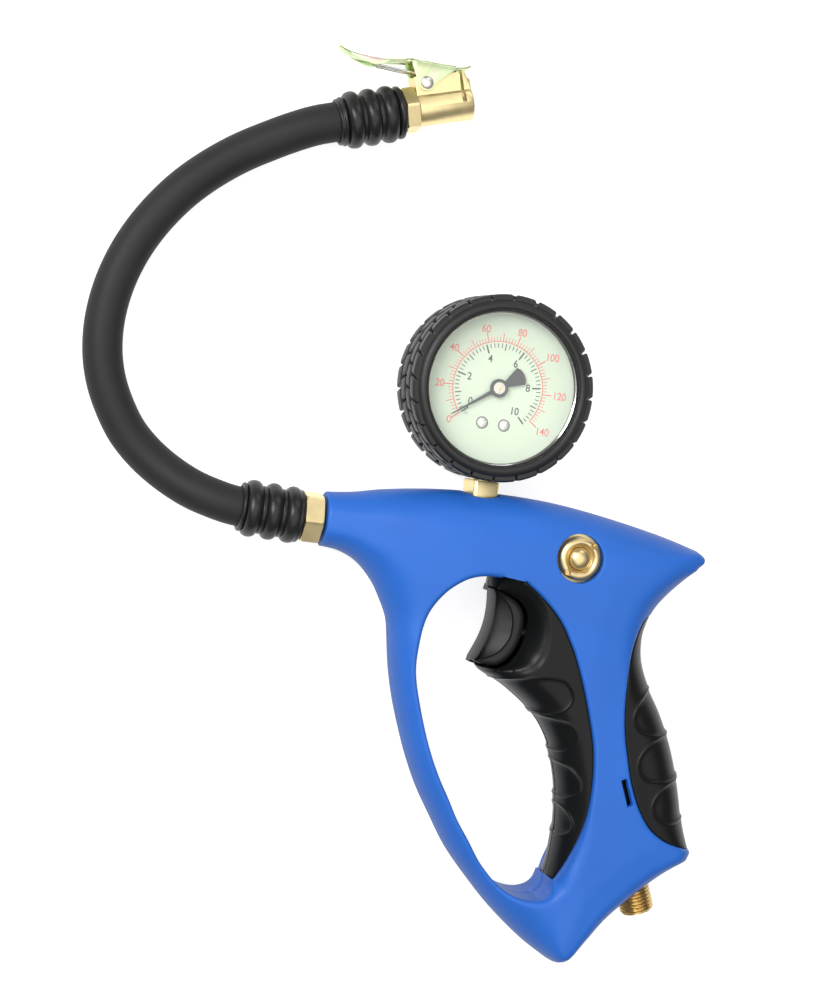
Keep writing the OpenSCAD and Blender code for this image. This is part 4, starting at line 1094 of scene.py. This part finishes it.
# ---- grips
PADS_FRONT = [
    [[5, -52.5], [14.2, -50.3], [19.7, -49], [26.3, -47.6], [33.3, -46.7], [38.9, -47.6], [42.1, -50.8], [43, -54.1],
     [41.2, -57.9], [37.9, -60.1], [33, -61], [27.4, -60.6], [20, -60.2], [8, -62]],
    [[12, -61.8], [23.8, -61.8], [29.7, -61.6], [34.8, -61.8], [39.8, -62.4], [44.1, -63.5], [46.9, -66.2], [47.5, -70.3],
     [45.6, -73.2], [42.6, -74.8], [38.7, -75.2], [33.3, -75.2], [20, -76]],
    [[25, -77.4], [36.1, -77.6], [40.6, -78.2], [46.3, -79.4], [49.1, -81.5], [51.5, -85], [51.8, -88.7], [49.6, -91.3],
     [46.5, -92.3], [42.5, -92.2], [30, -91.8]],
    [[30, -93.6], [40.5, -93.7], [43.7, -93.9], [46.8, -94.7], [49.6, -97], [51.5, -100.5], [51.5, -103.7], [49.8, -106.2],
     [47.3, -107.3], [43.2, -107.4], [30, -107]]]
PADS_REAR = [
    [[92, -45], [78.1, -46.8], [74.3, -48], [71.4, -50.6], [68.9, -54.3], [67.9, -58.3], [69.3, -61.9], [72.4, -63.8],
     [76.3, -64.4], [84, -63.6], [96, -60]],
    [[98, -61.5], [84.6, -64], [79.1, -65.8], [75, -68.9], [72.5, -73], [72.3, -76.8], [74.2, -80.1], [77.9, -81.7],
     [83.4, -81.3], [90, -79.4], [102, -75]],
    [[104, -77], [89.6, -81], [84.8, -83], [81.6, -86.4], [80.1, -90.6], [81.3, -94.3], [84.6, -96.6], [89, -97], [96, -95.2], [106, -92]]]
CREASE = curve([[16.6, -11.8], [20.5, -13.9], [24.9, -18.5], [28.3, -24.6], [30, -33.1], [28.9, -40.9], [24.2, -45.2],
                [18.5, -46.9], [12.5, -47.2], [6, -46.6]], 5)
cup_poly = np.vstack([CREASE, [[2, -46], [2, -11]]])
trig_front = curve([[10.6, -17.4], [11.1, -21], [11.3, -26], [10.9, -31], [9.7, -36], [8, -40.4], [6.2, -44.4]], 4)
trig_rear = curve([[6.2, -44.4], [8.6, -45.4], [14.5, -45.7], [18.5, -43.4], [21.7, -38.8], [23.4, -33], [23.7, -27.6],
                   [22.8, -24.3], [20.7, -21.6], [17.9, -19.8], [13, -17.9], [10.6, -17.4]], 4)
trig_out = np.vstack([trig_front[:-1], trig_rear[:-1]])


def grow(poly, d):
    """Closed polygon moved outward by d."""
    p = respace(poly, 0.8, True)
    t = np.roll(p, -1, 0) - np.roll(p, 1, 0)
    t /= np.linalg.norm(t, axis=1)[:, None]
    n = np.stack([t[:, 1], -t[:, 0]], 1)
    a = 0.5 * (p[:, 0] * np.roll(p[:, 1], -1) - p[:, 1] * np.roll(p[:, 0], -1)).sum()
    return p + n * d * (1 if a > 0 else -1)


trig_gap = grow(trig_out, 0.75)
pocket_open = np.array([[0, -16.4], [11.6, -16.4], [11.6, -46.6], [0, -46.6]])
front_in = np.vstack([c_grip[:, :2][::-1], [[9.5, -11.2]]])


def ridge(q, pads, z):
    """Raised rims of the finger pads and their dished middles."""
    out = np.zeros(len(q))
    best = np.full(len(q), 99.0)
    for p in pads:
        s = signed(q, ring_curve(p, 4))
        best = np.where(np.abs(s) < np.abs(best), s, best)
        out -= 0.28 * smooth01(-(s + 0.2) / 1.6)
    out += 0.34 * np.exp(-(best / 0.34) ** 2)
    return out


def front_grip():
    fg = np.vstack([c_grip[:, :2], s_front])
    inner = c_grip[:, :2]

    def keep(q):
        return inside(q, fg) & ~inside(q, trig_gap) & ~inside(q, pocket_open) & (near(q, s_front)[0] > 0.12)

    def hgt(q):
        z = surface(q, 0.9, True)
        dc = near(q, CREASE)[0]
        ds = near(q, s_front)[0]
        incup = inside(q, cup_poly)
        dt = np.minimum(near(q, trig_gap, True)[0], 99)
        t = dc / np.maximum(dc + dt, 1e-6)
        fade = smooth01((ds - 0.2) / 2.0)
        z = z - 0.85 * np.exp(-(dc / 0.75) ** 2) * fade
        floor = 8.6
        z = np.where(incup, z - (np.maximum(z - floor, 0)) * (0.10 * smooth01(dc / 1.2) + 0.90 * t ** 1.7) * fade, z)
        z = z - fillet(ds, 0.7)
        z = z - fillet(near(q, trig_gap, True)[0], 0.7)
        # the neck over the trigger
        z = np.where((q[:, 1] > -16.6) & (q[:, 0] < 14), np.minimum(z, 15.2), z)
        return np.maximum(z, 0.3)

    def disp(q, z):
        s = ridge(q, PADS_FRONT, z)
        w = smooth01((near(q, s_front)[0] - 0.4) / 1.2)
        return s * w
    sg = s_front
    gap_line = respace(trig_gap, 0.8, True)
    gap_line = gap_line[(gap_line[:, 0] > 11.6)]
    E = [dict(line=inner, closed=False, kind="seam", rings=RING_EDGE, step=0.9),
         dict(line=sg, closed=False, kind="window", rings=[0.2, 0.45, 0.8, 1.2], step=0.8),
         dict(line=trig_gap, closed=True, kind="hole", rings=[0.06, 0.2, 0.4, 0.7, 1.1], step=0.7),
         dict(line=pocket_open, closed=True, kind="hole", rings=[0.3, 0.8], step=0.8),
         dict(line=np.array([[9.5, -11.2], [19, -12.4]]), closed=False, kind="window", rings=[0.4, 0.9], step=0.8)]
    parts = []
    rims = [(ring_curve(p, 6), True, (0.0, 0.22, 0.45, 0.8), 0.6) for p in PADS_FRONT]
    V, F = shell(E, keep, hgt, 0.85, wall=6.0, disp=disp, guides=rims)
    # thinner walls where the trigger slides in behind them
    n = len(V) // 2
    room = np.zeros(n, bool)
    for d in np.arange(0, 5.7, 0.7):
        room |= inside(V[n:, :2] - d * np.array([0.99, -0.139]), grow(trig_out, 1.1))
    V[n:, 2] = np.where(room & (V[n:, 2] > 0), np.maximum(V[n:, 2], np.minimum(6.4, V[:n, 2] - 0.8)), V[n:, 2])
    for s in (1, -1):
        parts.append((V * np.array([1, 1, s]), F if s == 1 else [t[::-1] for t in F]))
    # lip around the trigger's shaft, deep in the pocket
    p = respace(trig_rear, 0.8)[3:-1]
    t = np.gradient(p, axis=0)
    t /= np.linalg.norm(t, axis=1)[:, None]
    nrm = np.stack([t[:, 1], -t[:, 0]], 1)
    m = len(p)
    a, b = p + 1.1 * nrm, p - 1.3 * nrm
    V = np.vstack([np.column_stack([a, np.full(m, -7.2)]), np.column_stack([b, np.full(m, -7.2)]),
                   np.column_stack([b, np.full(m, -12.5)]), np.column_stack([a, np.full(m, -12.5)])])
    F = [(i + k * m, i + 1 + k * m, i + 1 + (k + 1) % 4 * m, i + (k + 1) % 4 * m) for k in range(4) for i in range(m - 1)]
    F += [(0, m, 2 * m, 3 * m), (4 * m - 1, 3 * m - 1, 2 * m - 1, m - 1)]
    parts.append((V, F))
    V, F = join_meshes(parts)
    return piece("grip_front_skin", V, F, M_grip, rep=("front_grip",), sharp=42)


def rear_grip():
    cu = c_under[:, :2]
    rg = np.vstack([s_rear, [[110, -107], [110, -21]]])

    def keep(q):
        return inside(q, outline) & inside(q, rg) & (near(q, s_rear)[0] > 0.12)

    def hgt(q):
        z = surface(q, 0.9, False)
        z = z - fillet(near(q, s_rear)[0], 0.7)
        return np.maximum(z, 0.3)

    def disp(q, z):
        w = smooth01((near(q, s_rear)[0] - 0.4) / 1.2)
        return ridge(q, PADS_REAR, z) * w
    E = [dict(line=cu, closed=False, kind="seam", rings=RING_EDGE, step=0.9),
         dict(line=sr, closed=False, kind="window", rings=[0.2, 0.45, 0.8, 1.2], step=0.8)]
    rims = [(ring_curve(p, 6), True, (0.0, 0.22, 0.45, 0.8), 0.6) for p in PADS_REAR]
    V, F = shell(E, keep, hgt, 0.85, wall=5.0, disp=disp, guides=rims)
    parts = [(V * np.array([1, 1, s]), F if s == 1 else [t[::-1] for t in F]) for s in (1, -1)]
    tab = slot_rect.mean(0) + (slot_rect - slot_rect.mean(0)) * 0.94
    parts.append(prism(tab, 9.0, 12.6))
    V, F = join_meshes(parts)
    return piece("grip_rear_skin", V, F, M_grip, rep=("rear_grip",), sharp=42)


front_grip()
rear_grip()


BOWL = curve([[11.7, -18.3], [13.4, -19.2], [17.3, -22.8], [19.2, -27.4], [19.5, -31.2], [18.9, -35.2], [15.7, -40.2], [11.4, -43.0], [7.2, -44.3]], 5)


def trigger():
    bowl_poly = np.vstack([BOWL, trig_front[::-1]])

    def keep(q):
        return inside(q, trig_out)

    def hgt(q):
        df = near(q, trig_front)[0]
        dr = near(q, trig_rear)[0]
        db = near(q, BOWL)[0]
        t = df / np.maximum(df + db, 1e-6)
        bowl = 1.6 + 3.3 * t ** 1.2
        w = np.where(inside(q, bowl_poly), smooth01(db / 0.3) * smooth01((df - 0.3) / 0.25), 0)
        z = 6.0 * (1 - w) + bowl * w
        z = z - 0.7 * smooth01((2.9 - dr) / 2.9) ** 2 * (1 - w)
        z = z - fillet(np.minimum(dr, 9), 0.8) - fillet(df, 0.25)
        return np.maximum(z, 0.4)
    E = [dict(line=trig_front, closed=False, kind="x", rings=[0.06, 0.15, 0.25, 0.35, 0.45, 0.6, 0.8, 1.1], step=0.6),
         dict(line=trig_rear, closed=False, kind="x", rings=[0.04, 0.15, 0.35, 0.6, 0.9, 1.4, 2.0], step=0.6)]
    V, F = shell(E, keep, hgt, 0.6, wall=50, guides=[(BOWL, False, (0.0, 0.1, 0.2, 0.3, 0.45), 0.5)])
    n = len(V) // 2
    V = np.vstack([V[:n], V[:n] * np.array([1, 1, -1.0])])
    return piece("trigger_shell", V, F, M_trig, body="trigger", rep=("trigger",), sharp=38)


trigger()

# brass seat disc under the bleed button's bezel
V, F = lathe([(0, 11.9), (9.0, 11.9), (9.0, 12.25), (8.0, 12.3), (0, 12.3)], 48)
piece("bezel_seat", V + np.array([BLEED[0], BLEED[1], 0]), F, M_brass, recalc=True)

# ------------------------------------------------------------------ bleed button
br = 4.25
prof = [(br + 0.12, 13.2), (8.0, 13.2), (8.15, 13.4), (8.15, 15.3)]
prof += [(6.15 + 2.0 * math.cos(a), 15.35 + 1.7 * math.sin(a)) for a in np.radians(np.arange(6, 95, 8))]
prof += [(5.8, 16.98), (5.2, 16.6), (br + 0.6, 16.0), (br + 0.22, 15.8), (br + 0.12, 15.2)]


def notch(r, z, a):
    if z < 15.3:
        return 0
    d = 9.0
    for c in (50, 232):
        c = math.radians(c)
        d = min(d, math.hypot(r * math.cos(a) - 6.9 * math.cos(c), r * math.sin(a) - 6.9 * math.sin(c)))
    return -1.3 * float(smooth01(np.array((1.15 - d) / 0.35)))


fine_prof = []
for (r0, z0), (r1, z1) in zip(prof, prof[1:]):
    m = max(int(math.hypot(r1 - r0, z1 - z0) / 0.22), 1)
    fine_prof += [(r0 + (r1 - r0) * i / m, z0 + (z1 - z0) * i / m) for i in range(m)]
fine_prof.append(prof[-1])
V, F = lathe(fine_prof, 180, closed=True, dz=notch)
piece("bezel_ring", V + np.array([BLEED[0], BLEED[1], 0]), F, M_brass_bright, rep=("bleed_bezel",), sharp=50, recalc=True)
prof = [(0, 10.4), (4.0, 10.4), (4.2, 10.6), (4.22, 15.5)] + \
    [(4.22 * math.cos(a), 15.6 + 2.55 * math.sin(a)) for a in np.radians(np.arange(8, 90, 8))] + [(0, 18.15)]
V, F = lathe(prof, 72)
piece("bleed_dome", V + np.array([BLEED[0], BLEED[1], 0]), F, M_brass_bright, body="bleed_button",
      rep=("bleed_button",), sharp=50, recalc=True)

# ------------------------------------------------------------------ inlet thread
IN_D = np.array([math.cos(math.radians(112)), math.sin(math.radians(112)), 0])


def thread():
    pitch, deep, r0 = 1.337, 0.80, 6.58
    n = 96
    prof = [(3.5, 0.5), (3.7, 0.0), (5.5, 0.0)]
    ts = np.arange(0.06, 10.9, 0.0905)
    prof += [(100 + t, t) for t in ts] + [(6.1, 11.0), (6.1, 15.2), (3.0, 15.2), (3.0, 5.0), (3.5, 5.0)]

    def rad(r, z, a):
        if r < 90:
            return r
        x = (z / pitch + a / (2 * math.pi)) % 1.0
        d = deep * (0.5 - 0.5 * math.cos(2 * math.pi * x)) ** 0.85
        lead = min(5.75 + z * 0.75, r0)
        return max(min(r0 - d, lead), r0 - deep) if z > 0.3 else min(r0 - d, lead)
    return lathe(prof, n, closed=True, rad=rad)


V, F = thread()
piece("inlet_thread", put(V, *along((86.5, -134, 0), IN_D)), F, M_brass_thread, rep=("inlet_adapter",), sharp=30, recalc=True)

# ------------------------------------------------------------------ gauge
GC = np.array([1.4, 57.0, 0.0])


def gauge(V):
    return np.asarray(V, float) + GC


def boot():
    prof = [(24, -13.2), (24, -13.8), (24.5, -14), (30.6, -14), (31.8, -13.7), (32.7, -12.7), (33, -11.5), (33, 11.2), (32.6, 12.4),
            (31.8, 13.4), (30.9, 13.9), (30.0, 14.0), (29.35, 13.75), (28.95, 13.2), (28.9, 11.15), (28.3, 11.1), (28.3, 10.95),
            (31.1, 10.95), (31.1, -12.65), (24.2, -12.65)]
    V, F = lathe(prof, 144, closed=True)
    parts = [(V, F)]
    rows = [(-12.6, -6.6, 0.0), (-5.9, 0.5, 0.5), (1.2, 6.6, 0.0), (7.3, 12.6, 0.5)]
    n = 24
    for z0, z1, sh in rows:
        for i in range(n):
            c = 2 * math.pi * (i + sh) / n
            w = 2 * math.pi / n * 0.445
            P = []
            for (rr, ins) in ((32.5, 0.0), (33.9, 0.0), (34.45, 0.45), (34.6, 0.8)):
                for (ax, zz) in ((-1, z0), (1, z0), (1, z1), (-1, z1)):
                    a = c + ax * (w - ins / 34)
                    z = zz + (ins if zz == z0 else -ins)
                    P.append((rr, a, z))
            Q = []
            # each ring gets points along its long sides so that the block follows the round
            for k in range(4):
                r4 = P[4 * k:4 * k + 4]
                a0, a1 = r4[0][1], r4[1][1]
                za, zb = r4[0][2], r4[2][2]
                skew = 0.02 if (z0 + z1) > 0 else -0.02
                for t in np.linspace(0, 1, 4):
                    Q.append((r4[0][0], a0 + (a1 - a0) * t, za, -skew))
                for t in np.linspace(0, 1, 4):
                    Q.append((r4[0][0], a1 + (a0 - a1) * t, zb, skew))
            X = np.array([(r * math.cos(a + s), r * math.sin(a + s), z) for r, a, z, s in Q])
            ff = []
            for k in range(3):
                for j in range(8):
                    l = (j + 1) % 8
                    ff.append((8 * k + j, 8 * k + l, 8 * k + 8 + l, 8 * k + 8 + j))
            ff.append((24, 25, 30, 31))
            ff.append((25, 26, 29, 30))
            ff.append((26, 27, 28, 29))
            ff.append((0, 7, 6, 1))
            ff.append((1, 6, 5, 2))
            ff.append((2, 5, 4, 3))
            parts.append((X, ff))
    V, F = join_meshes(parts)
    ob = piece("boot_tread", gauge(V), F, M_boot, rep=("gauge_boot",), sharp=34, recalc=True)
    return ob


boot()
V, F = lathe([(27.6, 9.6), (30.9, 9.5), (30.9, 10.6), (30.2, 10.85), (29.2, 10.8), (28.4, 10.5), (27.85, 10.1), (27.6, 9.8)], 144, closed=True)
piece("gauge_rim", gauge(V), F, M_chrome, rep=("gauge_bezel",), sharp=50, recalc=True)
# inner wall of the case between the rim and the dial
V, F = lathe([(29.0, 9.6), (29.5, 9.7), (29.5, 4.0), (28.7, 4.0), (28.75, 5.2), (28.6, 8.2)], 144, closed=True)
piece("dial_wall", gauge(V), F, M_chrome, sharp=50, recalc=True)


def arc(r, w, a0, a1, z0, z1, n):
    P, F = [], []
    for i in range(n + 1):
        a = math.radians(a0 + (a1 - a0) * i / n)
        for rr, z in ((r - w / 2, z0), (r + w / 2, z0), (r + w / 2, z1), (r - w / 2, z1)):
            P.append((rr * math.cos(a), rr * math.sin(a), z))
    for i in range(n):
        for k in range(4):
            l = (k + 1) % 4
            F.append((4 * i + k, 4 * i + l, 4 * i + 4 + l, 4 * i + 4 + k))
    F.append((0, 3, 2, 1))
    F.append((4 * n, 4 * n + 1, 4 * n + 2, 4 * n + 3))
    return np.array(P), F


def tick(r0, r1, w, a, z0, z1):
    a = math.radians(a)
    c, s = math.cos(a), math.sin(a)
    P = [(r * c - u * s, r * s + u * c, z) for z in (z0, z1) for r, u in ((r0, -w / 2), (r1, -w / 2), (r1, w / 2), (r0, w / 2))]
    F = [(3, 2, 1, 0), (4, 5, 6, 7)] + [(k, (k + 1) % 4, 4 + (k + 1) % 4, 4 + k) for k in range(4)]
    return np.array(P), F


def number(text, size, x, y, z):
    cu = bpy.data.curves.new("number", "FONT")
    cu.body = text
    cu.size = size
    cu.align_x = "CENTER"
    cu.align_y = "CENTER"
    cu.extrude = 0.02
    cu.offset = 0.035 * size / 3.4
    ob = bpy.data.objects.new("number", cu)
    scene.collection.objects.link(ob)
    dg = bpy.context.evaluated_depsgraph_get()
    dg.update()
    me = bpy.data.meshes.new_from_object(ob.evaluated_get(dg), depsgraph=dg)
    V = np.array([v.co for v in me.vertices], float)
    F = [tuple(p.vertices) for p in me.polygons]
    bpy.data.objects.remove(ob)
    bpy.data.curves.remove(cu)
    bpy.data.meshes.remove(me)
    V = V * np.array([0.92, 1.0, 1.0]) + np.array([x, y, z])
    return V, F


def dial():
    z0, z1 = 4.17, 4.235
    red, grey = [], []
    A0, SW = 219.0, 265.0
    red.append(arc(17.3, 0.36, A0 - SW * 140 / 145.04, A0, z0, z1, 120))
    for v in range(0, 141, 2):
        a = A0 - SW * v / 145.04
        big, mid = v % 20 == 0, v % 10 == 0
        w, L = (0.42, 3.6) if big else (0.34, 3.1) if mid else (0.26, 1.7)
        red.append(tick(17.4, 17.4 + L, w, a, z0, z1))
    for v in range(0, 51):
        a = A0 - SW * v / 50
        big, mid = v % 10 == 0, v % 5 == 0
        w, L = (0.55, 3.3) if big else (0.38, 2.5) if mid else (0.3, 1.6)
        grey.append(tick(16.6 - L, 16.6, w, a, z0, z1))
    for v in range(0, 141, 20):
        a = math.radians(A0 - SW * v / 145.04)
        r = 23.4 if v >= 100 else 22.4 if v else 22.0
        red.append(number(str(v), 3.9, r * math.cos(a) * (1.03 if v >= 100 else 1.0), r * math.sin(a), z1))
    for v in range(0, 11, 2):
        a = math.radians(A0 - SW * v / 10 - (7 if v == 0 else 0))
        q = (11.6, 11.8, 11.2, 11.2, 11.6, 10.8)[v // 2]
        grey.append(number(str(v), 3.9, q * math.cos(a), q * math.sin(a), z1))
    V, F = join_meshes(red)
    piece("scale_outer", gauge(V), F, M_red, sharp=60)
    V, F = join_meshes(grey)
    piece("scale_inner", gauge(V), F, M_grey, sharp=60)
    # the dial's disc with a turned-up edge
    V, F = lathe([(1.6, 3.7), (29.4, 3.7), (29.4, 4.7), (29.05, 4.6), (28.75, 4.3), (28.3, 4.18), (1.6, 4.18)], 144, closed=True)
    piece("dial_disc", gauge(V), F, M_dial, rep=("gauge_dial",), sharp=40, recalc=True)
    # stop pin
    V, F = lathe([(0, 4.1), (0.5, 4.1), (0.5, 5.0), (0.35, 5.2), (0, 5.25)], 16)
    a = math.radians(A0 + 4)
    piece("stop_pin", gauge(V + np.array([15.2 * math.cos(a), 15.2 * math.sin(a), 0])), F, M_zinc, recalc=True)


dial()


def needle():
    A = math.radians(215)
    fan = [(-9.7, 3.5), (-10.7, 1.9), (-11.0, 0), (-10.7, -1.9), (-9.7, -3.5), (-3.0, -1.1), (0, -1.5), (4, -0.7), (20.3, -0.16),
           (20.9, 0), (20.3, 0.16), (4, 0.7), (0, 1.5), (-3.0, 1.1)]
    V, F = prism(fan, 5.55, 5.85)
    c, s = math.cos(A), math.sin(A)
    V = np.column_stack([V[:, 0] * c - V[:, 1] * s, V[:, 0] * s + V[:, 1] * c, V[:, 2]])
    ring = lathe([(2.1, 5.4), (3.4, 5.45), (3.45, 6.1), (3.3, 6.4), (2.8, 6.5), (2.1, 6.3)], 64, closed=True)
    V2, F2 = join_meshes([(V, F), ring])
    ob = piece("needle_blade", gauge(V2), F2, M_needle, body="needle", rep=("gauge_needle",), sharp=35, recalc=True)
    V, F = lathe([(0, 5.5), (2.3, 5.5), (2.32, 6.25), (2.1, 6.55), (1.4, 6.7), (0.62, 6.72), (0.55, 6.6), (0, 6.6)], 48)
    piece("needle_hub", gauge(V), F, M_cream, body="needle", sharp=40, recalc=True)
    V, F = lathe([(0, 6.5), (0.5, 6.5), (0.5, 6.95), (0.3, 7.05), (0, 7.05)], 24)
    piece("needle_arbor_tip", gauge(V), F, M_brass, body="needle", sharp=40, recalc=True)


needle()
parts = []
for x in (-4.25, 4.25):
    V, F = lathe([(0, 3.6), (1.0, 3.6), (1.0, 4.2), (1.85, 4.22), (1.92, 4.5), (1.75, 4.85), (1.2, 5.1), (0, 5.2)], 40)
    parts.append((V + np.array([x, -13.4, 0]), F))
V, F = join_meshes(parts)
screws = piece("dial_screw_heads", gauge(V), F, M_pale, sharp=40, recalc=True)
for x, rot in ((-4.25, 20), (4.25, 64)):
    V, F = prism([(-2.2, -0.2), (2.2, -0.2), (2.2, 0.2), (-2.2, 0.2)], 4.72, 5.6)
    c, s = math.cos(math.radians(rot)), math.sin(math.radians(rot))
    V = np.column_stack([V[:, 0] * c - V[:, 1] * s + x, V[:, 0] * s + V[:, 1] * c - 13.4, V[:, 2]])
    cut_with(screws, piece("tool_slot", gauge(V), F, M_zinc, body=None, recalc=True))
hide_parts("dial_screws")
# dark grey rings on the dial round the screw heads: a painted contact shadow
parts = []
for x in (-4.25, 4.25):
    V, F = lathe([(1.95, 4.16), (2.3, 4.16), (2.3, 4.22), (1.95, 4.22)], 40, closed=True)
    parts.append((V + np.array([x, -13.4, 0]), F))
V, F = join_meshes(parts)
piece("screw_shadow_rings", gauge(V), F, M_grey, recalc=True)

# stem block
V, F = prism([(-5.3, -4.3), (-4.3, -5.3), (4.3, -5.3), (5.3, -4.3), (5.3, 4.3), (4.3, 5.3), (-4.3, 5.3), (-5.3, 4.3)], 0, 9.3)
cs, ss = math.cos(math.radians(11)), math.sin(math.radians(11))
stem = piece("stem_block", put(V, (1.4, 12.9, 0), (cs, 0, -ss), (-ss, 0, -cs), (0, 1, 0)), F, M_brass, sharp=24, recalc=True)
bevel(stem, 0.3, 2, 30, 24)
V, F = lathe([(0, 5.6), (4.8, 5.6), (4.8, 25.6), (3.2, 25.6), (3.2, 34.8), (0, 34.8)], 48)
V = V[:, [0, 2, 1]]
cut_with(stem, piece("tool_stem", V + np.array([1.4, 0, 0]), F, M_brass, body=None, recalc=True), "UNION")
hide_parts("gauge_stem")

# ------------------------------------------------------------------ CAD nodes that stay
KEEP = {"valve_body": M_brass, "air_tube": M_zinc, "inlet_washer": M_seal, "valve_stem": M_zinc, "valve_seal": M_seal,
        "valve_spring": M_spring, "valve_cap": M_brass, "bleed_seal": M_seal, "bleed_spring": M_spring, "chuck_seal": M_seal,
        "chuck_pin": M_brass, "needle_arbor": M_brass, "bourdon_tube": M_brass, "movement_frame": M_brass,
        "sector_gear": M_brass, "gauge_case": M_zinc, "gauge_lens": M_lens, "cover_screws": M_zinc}
for name, mat in KEEP.items():
    for s in NODES[name].material_slots:
        s.link = "OBJECT"
        s.material = mat

# ------------------------------------------------------------------ stage, light
floor_me = bpy.data.meshes.new("floor")
S = 3.0
floor_me.from_pydata([(-S, -S, 0), (S, -S, 0), (S, S, 0), (-S, S, 0)], [], [(0, 1, 2, 3)])
floor = bpy.data.objects.new("floor", floor_me)
scene.collection.objects.link(floor)
floor.location = (0, 0, -0.0004)
floor.visible_diffuse = False
kf = Nodes("floor_white")
kf.b.inputs["Base Color"].default_value = (0.4, 0.4, 0.4, 1)
kf.b.inputs["Roughness"].default_value = 0.9
kf.b.inputs["Emission Color"].default_value = (1, 1, 1, 1)
kf.b.inputs["Emission Strength"].default_value = 0.82
floor_me.materials.append(kf.m)

world = bpy.data.worlds.new("studio")
scene.world = world
world.use_nodes = True
world.node_tree.nodes["Background"].inputs["Color"].default_value = (1, 1, 1, 1)
world.node_tree.nodes["Background"].inputs["Strength"].default_value = 0.19


def light(name, loc, target, size, power, color=(1, 1, 1)):
    d = bpy.data.lights.new(name, "AREA")
    d.shape = "RECTANGLE"
    d.size, d.size_y = size
    d.energy = power
    d.color = color
    o = bpy.data.objects.new(name, d)
    scene.collection.objects.link(o)
    o.location = loc
    v = Vector(target) - Vector(loc)
    o.rotation_euler = v.to_track_quat("-Z", "Y").to_euler()
    return o


light("key_left", (-0.92, 0.49, 1.05), (0, 0, 0), (0.7, 0.8), 15.5)
light("over", (-0.05, -0.05, 1.5), (0, 0, 0), (2.0, 2.0), 16.5)
light("behind", (0.4, 1.15, 0.76), (0, 0.02, 0), (0.7, 0.25), 2.0)

scene.view_settings.view_transform = "Standard"
scene.view_settings.look = "None"
scene.view_settings.exposure = 0.0
scene.view_settings.gamma = 1.0
